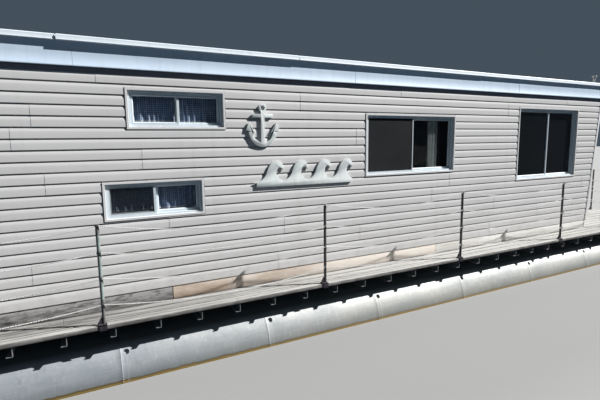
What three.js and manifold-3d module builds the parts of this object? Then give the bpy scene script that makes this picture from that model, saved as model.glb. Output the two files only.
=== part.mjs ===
// Houseboat on twin steel pontoons: a long sided cabin on a planked deck, with rope guard rails,
// a sliding door in its raked bow wall, and an outboard at the stern.
// Millimetres, +X to the bow, +Y to port, +Z up. The pontoons' undersides are at z = 0.

import * as THREE from 'three';
import { mergeVertices } from 'three/addons/utils/BufferGeometryUtils.js';
import Module from 'manifold-3d';

const wasm = await Module();
wasm.setup();

// Driving dimensions
const GAP = 0.3; // between pieces that rest on each other
const OVERCUT = 50; // how far a cutting body runs past what it cuts
const BITE = 2; // how far joined pieces run into each other
const CURVE_STEPS = 6; // facets in each curved stretch of an outline
const HALF_LENGTH = 7500; // from amidships to the pontoon nose, and to the back of the outboard
const HALF_BEAM = 2020; // to the deck's edge and the pontoons' outer sides

// Heights, from the pontoons' undersides upwards
const PONTOON_RADIUS = 457;
const BEARER_BOTTOM = 2 * PONTOON_RADIUS + GAP;
const JOIST_BOTTOM = 934;
const JOIST_TOP = 1026;
const DECK_BOTTOM = JOIST_TOP + GAP;
const DECK_TOP = 1064;
const SIDING_BOTTOM = 1209;
const SIDING_TOP = 3334;
const WALL_TOP = 3384;
const FASCIA_TOP = 3592;
const DRIP_TOP = 3642;
const ROOF_CROWN = 80; // rise of the roof over its edges

// Cabin plan
const CABIN_STERN = -5375;
const CABIN_BOW_FOOT = 4990; // bow wall's face at the siding's bottom
const CABIN_BOW_HEAD = 5230; // and at the siding's top
const CABIN_HALF = 1650; // to the siding's face
const WALL = 90; // whole thickness of a wall
const COURSE = 101.6; // exposed height of a siding course
const COURSES = 21;
const COURSE_LINE = 3253; // butt of the top whole course
const LAP = 10; // how far a butt stands out
const SKIRT = 22; // skirt board's thickness
const SKIRT_SETBACK = 14; // skirt's face behind the siding's
const HEAD_SETBACK = 14; // dark strip above the siding, behind its top course
const RAKE = (CABIN_BOW_HEAD - CABIN_BOW_FOOT) / (SIDING_TOP - SIDING_BOTTOM);

// Deck plan
const DECK_STERN = -6750;
const DECK_BOW = 7230;
const PLANK_GROOVE = 6;
const PLANK_GROOVE_DEPTH = 14;
const PLANKS_ACROSS = { walk: 3, full: 24 };

// Pontoons
const PONTOON_Y = HALF_BEAM - PONTOON_RADIUS;
const PONTOON_STERN = -6900;
const STERN_CONE = { length: 90, depth: 70 };
const NOSE_LENGTH = 1150;
const NOSE_STEPS = 7;
const NOSE_FULLNESS = 0.8; // exponent of the nose's taper
const NOSE_RISE = 0.82; // share of the taper that goes into lifting the nose
const PONTOON_SIDES = 36;

// Deck frame
const JOIST_SPACING = 400;
const JOIST_FIRST = -6622;
const JOIST_COUNT = 35;
const JOIST_FLANGE = 50;
const JOIST_WEB = 6;
const JOIST_SETBACK = 12; // a joist's end inside the deck's edge
const BEARER_WIDTH = 120;
const BEARER_SETBACK = 20;

// Roof edge
const FASCIA = 25; // stands out from the siding by its own thickness
const DRIP_OUT = 30;
const DRIP_IN = 150;
const ROOF_BOW = 5300;
const ROOF_SPANS = 12; // facets across the crown

// Colours, roughness and metalness
const FINISH = {
  siding: { color: 0xc0bebe, roughness: 0.55, metalness: 0 },
  trim: { color: 0xc8d8e6, roughness: 0.4, metalness: 0.1 },
  edge: { color: 0xd9e7f0, roughness: 0.35, metalness: 0.3 },
  roof: { color: 0x9a9c9c, roughness: 0.85, metalness: 0 },
  frame: { color: 0xdfe3e2, roughness: 0.4, metalness: 0 },
  glass: { color: 0x1a1c1e, roughness: 0.08, metalness: 0 },
  curtain: { color: 0x24344f, roughness: 0.9, metalness: 0 },
  plank: { color: 0xb4b2ab, roughness: 0.85, metalness: 0 },
  weathered: { color: 0x8b8a88, roughness: 0.9, metalness: 0 },
  fresh: { color: 0xc4ab8c, roughness: 0.8, metalness: 0 },
  floor: { color: 0x8a7a64, roughness: 0.85, metalness: 0 },
  pontoon: { color: 0xa8adab, roughness: 0.45, metalness: 0.8 },
  steel: { color: 0x8e8f8d, roughness: 0.55, metalness: 0.7 },
  rope: { color: 0xa9a8a6, roughness: 0.9, metalness: 0 },
  ornament: { color: 0xc7cbc9, roughness: 0.5, metalness: 0 },
  cowl: { color: 0x24282c, roughness: 0.3, metalness: 0.1 },
  alloy: { color: 0x9ea2a4, roughness: 0.35, metalness: 0.9 },
};

// Solids

function solid(geometry) {
  const bare = geometry.clone();
  bare.deleteAttribute('normal');
  bare.deleteAttribute('uv');
  const merged = mergeVertices(bare, 1e-3);
  const vertProperties = new Float32Array(merged.attributes.position.array);
  const triVerts = new Uint32Array(merged.index.array);
  return new wasm.Manifold(new wasm.Mesh({ numProp: 3, vertProperties, triVerts }));
}

function shell(manifold) {
  const mesh = manifold.getMesh();
  const geometry = new THREE.BufferGeometry();
  geometry.setAttribute('position', new THREE.BufferAttribute(mesh.vertProperties, 3));
  geometry.setIndex(new THREE.BufferAttribute(mesh.triVerts, 1));
  geometry.computeVertexNormals();
  return geometry;
}

function joined(parts) {
  return parts.reduce((whole, part) => whole.add(part));
}

function outline(points) {
  return new THREE.Shape(points.map(([u, v]) => new THREE.Vector2(u, v)));
}

function box(x, y, z) {
  const geometry = new THREE.BoxGeometry(x[1] - x[0], y[1] - y[0], z[1] - z[0]);
  geometry.translate((x[0] + x[1]) / 2, (y[0] + y[1]) / 2, (z[0] + z[1]) / 2);
  return solid(geometry);
}

function extruded(shape, depth) {
  return new THREE.ExtrudeGeometry(shape, { depth, bevelEnabled: false, curveSegments: CURVE_STEPS });
}

// A section in (y, z), drawn out along x
function alongX(shape, x) {
  const geometry = extruded(shape, x[1] - x[0]);
  const axes = new THREE.Matrix4().makeBasis(
    new THREE.Vector3(0, 1, 0),
    new THREE.Vector3(0, 0, 1),
    new THREE.Vector3(1, 0, 0),
  );
  geometry.applyMatrix4(axes).translate(x[0], 0, 0);
  return solid(geometry);
}

// A section in (x, z), drawn out along y
function alongY(shape, y) {
  const geometry = extruded(shape, y[1] - y[0]);
  const axes = new THREE.Matrix4().makeBasis(
    new THREE.Vector3(1, 0, 0),
    new THREE.Vector3(0, 0, 1),
    new THREE.Vector3(0, -1, 0),
  );
  geometry.applyMatrix4(axes).translate(0, y[1], 0);
  return solid(geometry);
}

// An outline in (x, y), drawn out along z
function alongZ(shape, z) {
  const geometry = extruded(shape, z[1] - z[0]);
  geometry.translate(0, 0, z[0]);
  return solid(geometry);
}

function roundedRect(u, v, radius) {
  const shape = new THREE.Shape();
  shape.moveTo(u[0] + radius, v[0]);
  shape.lineTo(u[1] - radius, v[0]);
  shape.absarc(u[1] - radius, v[0] + radius, radius, -Math.PI / 2, 0, false);
  shape.lineTo(u[1], v[1] - radius);
  shape.absarc(u[1] - radius, v[1] - radius, radius, 0, Math.PI / 2, false);
  shape.lineTo(u[0] + radius, v[1]);
  shape.absarc(u[0] + radius, v[1] - radius, radius, Math.PI / 2, Math.PI, false);
  shape.lineTo(u[0], v[0] + radius);
  shape.absarc(u[0] + radius, v[0] + radius, radius, Math.PI, 1.5 * Math.PI, false);
  return shape;
}

function rod(from, to, radius, sides = 12) {
  const start = new THREE.Vector3(...from);
  const end = new THREE.Vector3(...to);
  const geometry = new THREE.CylinderGeometry(radius, radius, start.distanceTo(end), sides);
  const along = end.clone().sub(start).normalize();
  geometry.applyQuaternion(new THREE.Quaternion().setFromUnitVectors(new THREE.Vector3(0, 1, 0), along));
  geometry.translate(...start.add(end).multiplyScalar(0.5).toArray());
  return solid(geometry);
}

// A closed loft through rings of equally many points, capped at both ends
function lofted(rings) {
  const count = rings[0].length;
  const positions = rings.flat();
  const faces = [];
  for (let r = 0; r < rings.length - 1; r += 1) {
    for (let i = 0; i < count; i += 1) {
      const a = r * count + i;
      const b = r * count + ((i + 1) % count);
      faces.push(a, b, b + count, a, b + count, a + count);
    }
  }
  const top = (rings.length - 1) * count;
  for (let i = 1; i < count - 1; i += 1) {
    faces.push(0, i + 1, i);
    faces.push(top, top + i, top + i + 1);
  }
  const vertProperties = new Float32Array(positions.flat());
  const triVerts = new Uint32Array(faces);
  return new wasm.Manifold(new wasm.Mesh({ numProp: 3, vertProperties, triVerts }));
}

// A closed tube through the points, its rings turned with the path
function swept(points, radius, sides) {
  const path = points.map((point) => new THREE.Vector3(...point));
  const turned = new THREE.Quaternion();
  let heading = new THREE.Vector3(0, 0, 1);
  const rings = path.map((point, i) => {
    const before = path[Math.max(i - 1, 0)];
    const after = path[Math.min(i + 1, path.length - 1)];
    const next = after.clone().sub(before).normalize();
    turned.premultiply(new THREE.Quaternion().setFromUnitVectors(heading, next));
    heading = next;
    return Array.from({ length: sides }, (_, k) => {
      const turn = (k * 2 * Math.PI) / sides;
      const offset = new THREE.Vector3(radius * Math.cos(turn), radius * Math.sin(turn), 0);
      return offset.applyQuaternion(turned).add(point).toArray();
    });
  });
  return lofted(rings);
}

// Leans a piece forward with the bow wall: x grows with height over the siding's bottom
function raked(manifold) {
  return manifold.warp((point) => {
    point[0] += (point[2] - SIDING_BOTTOM) * RAKE;
  });
}

function mirrored(manifold) {
  return manifold.mirror([0, 1, 0]);
}

const vessel = new THREE.Group();

function place(name, manifold, finish) {
  const mesh = new THREE.Mesh(shell(manifold), new THREE.MeshStandardMaterial(FINISH[finish]));
  mesh.name = name;
  vessel.add(mesh);
}

// Pontoons: a plated cylinder, a short stern cone, and a nose that tapers and rises

function pontoon(y) {
  const cylinderEnd = HALF_LENGTH - NOSE_LENGTH;
  const profile = [
    [0, PONTOON_STERN],
    [PONTOON_RADIUS - STERN_CONE.depth, PONTOON_STERN],
    [PONTOON_RADIUS, PONTOON_STERN + STERN_CONE.length],
  ];
  for (let i = 0; i <= NOSE_STEPS; i += 1) {
    const turn = (i / NOSE_STEPS) * (Math.PI / 2);
    const radius = PONTOON_RADIUS * Math.cos(turn) ** NOSE_FULLNESS;
    profile.push([radius, cylinderEnd + NOSE_LENGTH * Math.sin(turn)]);
  }
  profile[profile.length - 1][0] = 0;
  const toFlats = 1 / Math.cos(Math.PI / PONTOON_SIDES);
  const points = profile.map(([radius, x]) => new THREE.Vector2(radius * toFlats, x));
  const geometry = new THREE.LatheGeometry(points, PONTOON_SIDES);
  geometry.applyMatrix4(new THREE.Matrix4().makeBasis(
    new THREE.Vector3(0, 1, 0),
    new THREE.Vector3(1, 0, 0),
    new THREE.Vector3(0, 0, -1),
  ));
  geometry.rotateX(Math.PI / PONTOON_SIDES);
  const lifted = solid(geometry).warp((point) => {
    const along = Math.max(0, (point[0] - cylinderEnd) / NOSE_LENGTH);
    const radius = PONTOON_RADIUS * Math.cos(Math.asin(Math.min(1, along))) ** NOSE_FULLNESS;
    point[2] += (PONTOON_RADIUS - radius) * NOSE_RISE * (along > 0 ? 1 : 0);
  });
  return lifted.translate([0, y, PONTOON_RADIUS]);
}

place('pontoon_starboard', pontoon(-PONTOON_Y), 'pontoon');
place('pontoon_port', pontoon(PONTOON_Y), 'pontoon');

// Deck frame: channel joists across two flat bearers that lie along the pontoons

function joist(x) {
  const half = HALF_BEAM - JOIST_SETBACK;
  const channel = outline([
    [x, JOIST_BOTTOM],
    [x, JOIST_TOP],
    [x - JOIST_FLANGE, JOIST_TOP],
    [x - JOIST_FLANGE, JOIST_TOP - JOIST_WEB],
    [x - JOIST_WEB, JOIST_TOP - JOIST_WEB],
    [x - JOIST_WEB, JOIST_BOTTOM + JOIST_WEB],
    [x - JOIST_FLANGE, JOIST_BOTTOM + JOIST_WEB],
    [x - JOIST_FLANGE, JOIST_BOTTOM],
  ]);
  return alongY(channel, [-half, half]);
}

function bearer(y) {
  const width = [y - BEARER_WIDTH / 2, y + BEARER_WIDTH / 2];
  const along = [DECK_STERN + BEARER_SETBACK, DECK_BOW - BEARER_SETBACK];
  return box(along, width, [BEARER_BOTTOM, JOIST_BOTTOM + BITE]);
}

const frameParts = [bearer(-PONTOON_Y), bearer(PONTOON_Y)];
for (let i = 0; i < JOIST_COUNT; i += 1) frameParts.push(joist(JOIST_FIRST + i * JOIST_SPACING));
place('deck_frame', joined(frameParts), 'steel');

// Guard rail posts stand on the planking near its edge: along each side, and at the bow and stern gates
const POST = {
  radius: 15, height: 937, setback: 30, foot: 46, footHalf: 20, footThick: 12, gusset: 95, gussetHalf: 5,
};
const POST_X = [-6705, -5000, -3115, -780, 1404, 3677, 5941, 7185];
const POST_Y = HALF_BEAM - POST.setback;
const GATE = { stern: 760, bow: 560 }; // half width between the gate posts
const [POST_STERN] = POST_X;
const POST_BOW = POST_X[POST_X.length - 1];

function post(x, y) {
  const root = DECK_TOP - BITE;
  const tube = rod([x, y, root], [x, y, DECK_TOP + POST.height], POST.radius, 8);
  const width = [y - POST.footHalf, y + POST.footHalf];
  const foot = box([x - POST.foot, x + POST.foot / 2], width, [root, DECK_TOP + POST.footThick]);
  const gusset = alongY(outline([
    [x - POST.foot, root], [x, root], [x, DECK_TOP + POST.gusset], [x - POST.radius, DECK_TOP + POST.gusset],
  ]), [y - POST.gussetHalf, y + POST.gussetHalf]);
  return joined([tube, foot, gusset]);
}

// Planking: one slab a deck, grooved along x between its planks, with the posts that stand on it

function planking(x, y, count) {
  const points = [[y[0], DECK_BOTTOM], [y[1], DECK_BOTTOM], [y[1], DECK_TOP]];
  const width = (y[1] - y[0]) / count;
  for (let i = count - 1; i > 0; i -= 1) {
    const seam = y[0] + i * width;
    const sides = [seam + PLANK_GROOVE / 2, seam - PLANK_GROOVE / 2];
    points.push([sides[0], DECK_TOP], [sides[0], DECK_TOP - PLANK_GROOVE_DEPTH]);
    points.push([sides[1], DECK_TOP - PLANK_GROOVE_DEPTH], [sides[1], DECK_TOP]);
  }
  points.push([y[0], DECK_TOP]);
  return alongX(outline(points), x);
}

const floorBow = CABIN_BOW_FOOT - (SIDING_BOTTOM - DECK_BOTTOM) * RAKE;
const walk = planking([DECK_STERN, DECK_BOW], [-HALF_BEAM, -CABIN_HALF - GAP], PLANKS_ACROSS.walk);
const walkway = joined([walk, ...POST_X.map((x) => post(x, -POST_Y))]);
const bowPlanks = planking([floorBow + GAP, DECK_BOW], [-CABIN_HALF, CABIN_HALF], PLANKS_ACROSS.full);
const sternPlanks = planking([DECK_STERN, CABIN_STERN - GAP], [-CABIN_HALF, CABIN_HALF], PLANKS_ACROSS.full);
place('walkway_starboard', walkway, 'plank');
place('walkway_port', mirrored(walkway), 'plank');
const bowPosts = [-1, 1].map((side) => post(POST_BOW, side * GATE.bow));
const sternPosts = [-1, 1].map((side) => post(POST_STERN, side * GATE.stern));
place('bow_deck', joined([bowPlanks, ...bowPosts]), 'plank');
place('stern_deck', joined([sternPlanks, ...sternPosts]), 'plank');
const cabinFloor = box([CABIN_STERN, floorBow], [-CABIN_HALF, CABIN_HALF], [DECK_BOTTOM, DECK_TOP]);
place('cabin_floor', cabinFloor, 'floor');

// Lap siding section in (y, z) of a wall whose face is at y = 0 and whose inside is at y = WALL.
// Below the siding the wall is set back by footSetback, which leaves room for a skirt board.

function sidedSection(footSetback) {
  const head = LAP + HEAD_SETBACK;
  const points = [
    [WALL, DECK_TOP + GAP],
    [WALL, WALL_TOP],
    [head, WALL_TOP],
    [head, SIDING_TOP],
    [LAP, SIDING_TOP],
  ];
  for (let i = 0; i < COURSES - 1; i += 1) {
    const butt = COURSE_LINE - i * COURSE;
    points.push([0, butt], [LAP, butt]);
  }
  points.push([0, SIDING_BOTTOM], [footSetback, SIDING_BOTTOM], [footSetback, DECK_TOP + GAP]);
  return points.reverse();
}

// Openings, the same both sides: x of the middle, width, sill and head heights, and whether it is curtained
const WINDOWS = [
  { name: 'high', x: -2290, width: 982, sill: 2826, head: 3219, curtained: true },
  { name: 'low', x: -2547, width: 976, sill: 1945, head: 2324, curtained: true },
  { name: 'middle', x: 808, width: 1564, sill: 2237, head: 3029, curtained: false },
  { name: 'forward', x: 3753, width: 1567, sill: 2030, head: 3184, curtained: false },
];
const WINDOW_FRAME = {
  border: 62, mullion: 48, mullionSetback: 10, proud: 4, glassSetback: 42, glass: 6, rebate: 12,
};
const CURTAIN = { thick: 24, beside: 40, foot: 66, above: 50 }; // its hem hangs above the opening's sill

function sideWall() {
  const foot = SKIRT_SETBACK + SKIRT + GAP;
  const section = outline(sidedSection(foot).map(([y, z]) => [y - CABIN_HALF, z]));
  const long = alongX(section, [CABIN_STERN, CABIN_BOW_HEAD + OVERCUT]);
  const reach = raked(box(
    [CABIN_STERN - 2 * OVERCUT, CABIN_BOW_FOOT],
    [-CABIN_HALF - OVERCUT, 0],
    [DECK_BOTTOM, WALL_TOP + OVERCUT],
  ));
  const openings = WINDOWS.map(({ x, width, sill, head }) => box(
    [x - width / 2 - GAP, x + width / 2 + GAP],
    [-CABIN_HALF - OVERCUT, -CABIN_HALF + WALL + OVERCUT],
    [sill - GAP, head + GAP],
  ));
  return long.intersect(reach).subtract(joined(openings));
}

const wall = sideWall();
place('wall_starboard', wall, 'siding');
place('wall_port', mirrored(wall), 'siding');

// A body that fills the window inset by that much on all four sides
function inOpening({ x, width, sill, head }, inset, y) {
  return box([x - width / 2 + inset, x + width / 2 - inset], y, [sill + inset, head - inset]);
}

function windowFrame(opening) {
  const { border, mullion, mullionSetback, proud, glassSetback, glass, rebate } = WINDOW_FRAME;
  const face = -CABIN_HALF - proud;
  const inside = -CABIN_HALF + WALL;
  const outer = inOpening(opening, 0, [face, inside]);
  const light = inOpening(opening, border, [face - OVERCUT, inside + OVERCUT]);
  const bar = box(
    [opening.x - mullion / 2, opening.x + mullion / 2],
    [face + mullionSetback, face + glassSetback - GAP],
    [opening.sill + border - BITE, opening.head - border + BITE],
  );
  const glassFace = face + glassSetback;
  const slot = inOpening(opening, border - rebate, [glassFace - GAP, glassFace + glass + GAP]);
  return outer.subtract(light).add(bar).subtract(slot);
}

function windowGlass(opening) {
  const { border, proud, glassSetback, glass, rebate } = WINDOW_FRAME;
  const face = -CABIN_HALF - proud + glassSetback;
  return inOpening(opening, border - rebate + GAP, [face, face + glass]);
}

function curtain({ x, width, sill, head }) {
  const { thick, beside, foot, above } = CURTAIN;
  const inside = -CABIN_HALF + WALL + GAP;
  return box(
    [x - width / 2 - beside, x + width / 2 + beside],
    [inside, inside + thick],
    [sill + foot, head + above],
  );
}

for (const opening of WINDOWS) {
  const pieces = [['frame', windowFrame(opening), 'frame'], ['glass', windowGlass(opening), 'glass']];
  if (opening.curtained) pieces.push(['curtain', curtain(opening), 'curtain']);
  for (const [part, manifold, finish] of pieces) {
    place(`${part}_${opening.name}_starboard`, manifold, finish);
    place(`${part}_${opening.name}_port`, mirrored(manifold), finish);
  }
}

// Skirt boards under the siding: where a board ends, and its finish, along the starboard side
const SKIRT_BOW = floorBow + 8;
const SKIRT_BOARDS = [
  { name: 'skirt_aft_starboard', from: CABIN_STERN, to: -2432, finish: 'weathered' },
  { name: 'skirt_middle_starboard', from: -2432, to: 1290, finish: 'fresh' },
  { name: 'skirt_forward_starboard', from: 1290, to: SKIRT_BOW, finish: 'weathered' },
];

function skirt(from, to) {
  const face = -CABIN_HALF + SKIRT_SETBACK;
  return box([from + GAP, to - GAP], [face, face + SKIRT], [DECK_TOP + GAP, SIDING_BOTTOM - GAP]);
}

for (const board of SKIRT_BOARDS) place(board.name, skirt(board.from, board.to), board.finish);
place('skirt_port', mirrored(skirt(CABIN_STERN, SKIRT_BOW)), 'weathered');

// End walls, between the side walls. The section's face looks aft or forward
const END_HALF = CABIN_HALF - WALL - GAP;
const DOOR_PROUD = 14; // how far both door frames stand out from the siding
const STERN_DOOR = {
  half: 410, sill: 1110, head: 3090, frame: 36, clearance: 6, thick: 42, proud: 12,
  stile: 130, light: [1990, 2840], glass: 6, glassSetback: 16, stop: 14, stopSetback: 36,
  knob: { radius: 24, reach: 45, inset: 60, z: 2080 },
};
const BOW_DOOR = {
  half: 890, sill: 1106, head: 3096, frame: 48, stile: 70,
  clearance: 6, thick: 32, glass: 8, setback: 12, rail: 8,
};

function endSection(face, sign) {
  return outline(sidedSection(SKIRT_SETBACK).map(([y, z]) => [face + sign * y, z]));
}

function endWall(face, sign, { half, sill, head }) {
  const through = [face - WALL - OVERCUT, face + WALL + OVERCUT];
  const opening = box(through, [-half - GAP, half + GAP], [sill - GAP, head + GAP]);
  return alongY(endSection(face, sign), [-END_HALF, END_HALF]).subtract(opening);
}

place('wall_stern', endWall(CABIN_STERN, 1, STERN_DOOR), 'siding');
place('wall_bow', raked(endWall(CABIN_BOW_FOOT, -1, BOW_DOOR)), 'siding');

// Roof: a crowned panel inside a fascia board, with a drip edge over both

const fasciaOuter = CABIN_HALF + FASCIA;
const roofStern = CABIN_STERN - FASCIA;

function rectangle(u, v) {
  return outline([[u[0], v[0]], [u[1], v[0]], [u[1], v[1]], [u[0], v[1]]]);
}

function ring(outer, inner, z) {
  const shape = rectangle(outer.x, [-outer.y, outer.y]);
  shape.holes.push(rectangle(inner.x, [-inner.y, inner.y]));
  return alongZ(shape, z);
}

function roofPanel() {
  const half = CABIN_HALF - GAP;
  const points = [[-half, WALL_TOP + GAP], [half, WALL_TOP + GAP]];
  for (let i = ROOF_SPANS; i >= 0; i -= 1) {
    const y = -half + (2 * half * i) / ROOF_SPANS;
    points.push([y, FASCIA_TOP - 2 * GAP + ROOF_CROWN * (1 - (y / half) ** 2)]);
  }
  return alongX(outline(points), [CABIN_STERN + GAP, ROOF_BOW - FASCIA - GAP]);
}

place('roof_panel', roofPanel(), 'roof');
place('roof_fascia', ring(
  { x: [roofStern, ROOF_BOW], y: fasciaOuter },
  { x: [CABIN_STERN, ROOF_BOW - FASCIA], y: CABIN_HALF },
  [WALL_TOP, FASCIA_TOP],
), 'trim');

function dripSection() {
  const lip = fasciaOuter + DRIP_OUT;
  return ring(
    { x: [roofStern - DRIP_OUT, ROOF_BOW + DRIP_OUT], y: lip },
    { x: [CABIN_STERN + DRIP_IN, ROOF_BOW - FASCIA - DRIP_IN], y: CABIN_HALF - DRIP_IN },
    [FASCIA_TOP + GAP, DRIP_TOP],
  );
}

place('roof_edge', dripSection().subtract(roofPanel().translate([0, 0, GAP])), 'edge');

// Roof vent: a short pipe with a flat cap, flanged to the edge metal at the starboard bow corner
const VENT = { x: 5010, y: -1605, radius: 20, cap: 42, capThick: 28, flange: 46, flangeThick: 8, height: 138 };

function vent() {
  const { x, y, radius, cap, capThick, flange, flangeThick, height } = VENT;
  const foot = DRIP_TOP + GAP;
  const top = foot + height;
  const pipe = rod([x, y, foot], [x, y, top], radius, 16);
  const lid = rod([x, y, top - capThick], [x, y, top], cap, 16);
  const base = rod([x, y, foot], [x, y, foot + flangeThick], flange, 16);
  return pipe.add(lid).add(base);
}

place('roof_vent', vent(), 'steel');

// Guard ropes: one rope a side, reeved to and fro on the outside of the posts. It makes four runs from the
// stern gate to the bow gate, one below the other, and sags between the posts
const ROPE = { radius: 6, sides: 6, steps: 6, clear: 0.5, usualSpan: 2270 };
const ROPE_RUNS = [
  { level: 915, sag: 112 },
  { level: 671, sag: 90 },
  { level: 434, sag: 94 },
  { level: 192, sag: 84 },
]; // a run's height over the deck at the posts, and its sag in the usual span

function guardRope() {
  const off = POST.radius + ROPE.radius + ROPE.clear;
  const stops = [
    [POST_STERN - off, -GATE.stern],
    [POST_STERN - off, -POST_Y - off],
    ...POST_X.slice(1, -1).map((x) => [x, -POST_Y - off]),
    [POST_BOW + off, -POST_Y - off],
    [POST_BOW + off, -GATE.bow],
  ];
  const points = [];
  ROPE_RUNS.forEach(({ level, sag }, run) => {
    const line = run % 2 ? [...stops].reverse() : stops;
    line.slice(1).forEach(([bx, by], i) => {
      const [ax, ay] = line[i];
      const drop = sag * (Math.hypot(bx - ax, by - ay) / ROPE.usualSpan) ** 2;
      for (let step = i ? 1 : 0; step <= ROPE.steps; step += 1) {
        const t = step / ROPE.steps;
        points.push([ax + (bx - ax) * t, ay + (by - ay) * t, DECK_TOP + level - 4 * drop * t * (1 - t)]);
      }
    });
  });
  return swept(points, ROPE.radius, ROPE.sides);
}

const rope = guardRope();
place('guard_rope_starboard', rope, 'rope');
place('guard_rope_port', mirrored(rope), 'rope');

// Ornament in flat sheet on the starboard wall: an anchor, and a band of running waves below it
const ORNAMENT = { thick: 14, standoff: 5 };
const ANCHOR = {
  x: -1380, z: 2870, height: 470, bar: 46, arm: 165, ring: 46, ringHole: 24, stock: 120, stockBar: 38,
  fluke: { inner: 72, outer: 36, tip: 2, foot: 8, rise: 18, height: 104 }, spacer: [-160, 60],
};
const WAVES = {
  x: -1500, z: 2235, pitch: 318, crests: 4, height: 250, base: 50, setback: 30, spacer: [-20, 6],
};
const ornamentFace = -CABIN_HALF - ORNAMENT.standoff;

function sheetShape(shape) {
  return alongY(shape, [ornamentFace - ORNAMENT.thick, ornamentFace]);
}

function spacer(x, z) {
  return box(x, [ornamentFace - BITE, -CABIN_HALF - GAP], z);
}

function arc(x, z, outer, inner, from, to) {
  const shape = new THREE.Shape();
  shape.absarc(x, z, outer, from, to, false);
  shape.absarc(x, z, inner, to, from, true);
  return shape;
}

function anchor() {
  const { x, z, height, bar, arm, ring, ringHole, stock, stockBar, fluke } = ANCHOR;
  const top = z + height / 2;
  const foot = z - height / 2;
  const crown = foot + arm;
  const shankTop = top - 2 * ring;
  const eye = new THREE.Shape().absarc(x, top - ring, ring, 0, 2 * Math.PI, false);
  eye.holes.push(new THREE.Path().absarc(x, top - ring, ringHole, 0, 2 * Math.PI, true));
  const flukes = [-1, 1].map((side) => sheetShape(outline([
    [x + side * (arm - fluke.inner), crown - fluke.foot],
    [x + side * (arm + fluke.outer), crown + fluke.rise],
    [x + side * (arm - fluke.tip), crown + fluke.height],
  ])));
  return joined([
    sheetShape(eye),
    sheetShape(rectangle([x - bar / 2, x + bar / 2], [foot + bar / 4, shankTop + bar / 4])),
    sheetShape(rectangle([x - stock, x + stock], [shankTop - 1.5 * stockBar, shankTop - 0.5 * stockBar])),
    sheetShape(arc(x, crown, arm, arm - bar, Math.PI, 2 * Math.PI)),
    ...flukes,
    spacer([x - bar / 2 + BITE, x + bar / 2 - BITE], [z + ANCHOR.spacer[0], z + ANCHOR.spacer[1]]),
  ]);
}

// One crest that curls forward over its own hollow, drawn from its foot at (x, z)
function crest(x, z) {
  const { pitch, height } = WAVES;
  const shape = new THREE.Shape();
  shape.moveTo(x, z);
  shape.quadraticCurveTo(x + pitch * 0.42, z + height * 0.08, x + pitch * 0.52, z + height * 0.55);
  shape.quadraticCurveTo(x + pitch * 0.66, z + height * 1.08, x + pitch * 1.0, z + height * 0.92);
  shape.quadraticCurveTo(x + pitch * 1.2, z + height * 0.78, x + pitch * 1.12, z + height * 0.52);
  shape.quadraticCurveTo(x + pitch * 1.04, z + height * 0.74, x + pitch * 0.92, z + height * 0.62);
  shape.quadraticCurveTo(x + pitch * 0.74, z + height * 0.34, x + pitch * 1.06, z);
  shape.closePath();
  return sheetShape(shape);
}

function waves() {
  const { x, z, pitch, crests, base, setback } = WAVES;
  const back = [z + WAVES.spacer[0], z + WAVES.spacer[1]];
  const start = x + setback;
  const end = x + pitch * (crests + 0.1);
  const band = sheetShape(rectangle([start, end], [z - base, z + BITE]));
  const parts = [band, spacer([start + setback, end - 2 * setback], back)];
  for (let i = 0; i < crests; i += 1) parts.push(crest(x + i * pitch, z));
  return joined(parts);
}

place('ornament_anchor', anchor(), 'ornament');
place('ornament_waves', waves(), 'ornament');

// Stern door: frame, hinged leaf and its glass

const leafHalf = STERN_DOOR.half - STERN_DOOR.frame - STERN_DOOR.clearance;
const leafZ = [
  STERN_DOOR.sill + STERN_DOOR.frame + STERN_DOOR.clearance,
  STERN_DOOR.head - STERN_DOOR.frame - STERN_DOOR.clearance,
];
const leafX = [CABIN_STERN - STERN_DOOR.proud, CABIN_STERN - STERN_DOOR.proud + STERN_DOOR.thick];
const lightHalf = leafHalf - STERN_DOOR.stile;
const HINGE = {
  x: leafX[0] - 8, y: leafHalf - 2, radius: 8, half: 45, strap: 24, strapThick: 6, levels: [1380, 2100, 2820],
};

// The knuckles that one side of each hinge has: side is -1 for the leaf's, below, and 1 for the frame's
function knuckles(side) {
  return HINGE.levels.map((z) => {
    const reach = [z + side * GAP / 2, z + side * HINGE.half];
    return rod([HINGE.x, HINGE.y, reach[0]], [HINGE.x, HINGE.y, reach[1]], HINGE.radius);
  });
}

function sternFrame() {
  const { half, sill, head, frame, proud, stop, stopSetback } = STERN_DOOR;
  const layer = (inset, x) => box(x, [-half + inset, half - inset], [sill + inset, head - inset]);
  const inside = CABIN_STERN + WALL;
  const straps = HINGE.levels.map((z) => box(
    [HINGE.x - HINGE.strapThick, CABIN_STERN - proud],
    [HINGE.y, half - frame + HINGE.strap],
    [z + GAP / 2, z + HINGE.half],
  ));
  const jamb = layer(0, [CABIN_STERN - DOOR_PROUD, inside])
    .subtract(layer(frame, [CABIN_STERN - OVERCUT, inside + OVERCUT]));
  const stops = layer(BITE, [CABIN_STERN + stopSetback, inside])
    .subtract(layer(frame + stop, [CABIN_STERN, inside + OVERCUT]));
  return joined([jamb, stops, ...straps, ...knuckles(1)]);
}

function sternLeaf() {
  const { light, knob } = STERN_DOOR;
  const leaf = box(leafX, [-leafHalf, leafHalf], leafZ);
  const hole = box([leafX[0] - OVERCUT, leafX[1] + OVERCUT], [-lightHalf, lightHalf], light);
  const handle = rod(
    [leafX[0] - knob.reach, -leafHalf + knob.inset, knob.z],
    [leafX[0] + BITE, -leafHalf + knob.inset, knob.z],
    knob.radius,
  );
  const straps = HINGE.levels.map((z) => box(
    [HINGE.x, leafX[0] + BITE],
    [HINGE.y - HINGE.strap, HINGE.y],
    [z - HINGE.half, z - GAP / 2],
  ));
  return joined([leaf.subtract(hole), handle, ...straps, ...knuckles(-1)]);
}

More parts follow.
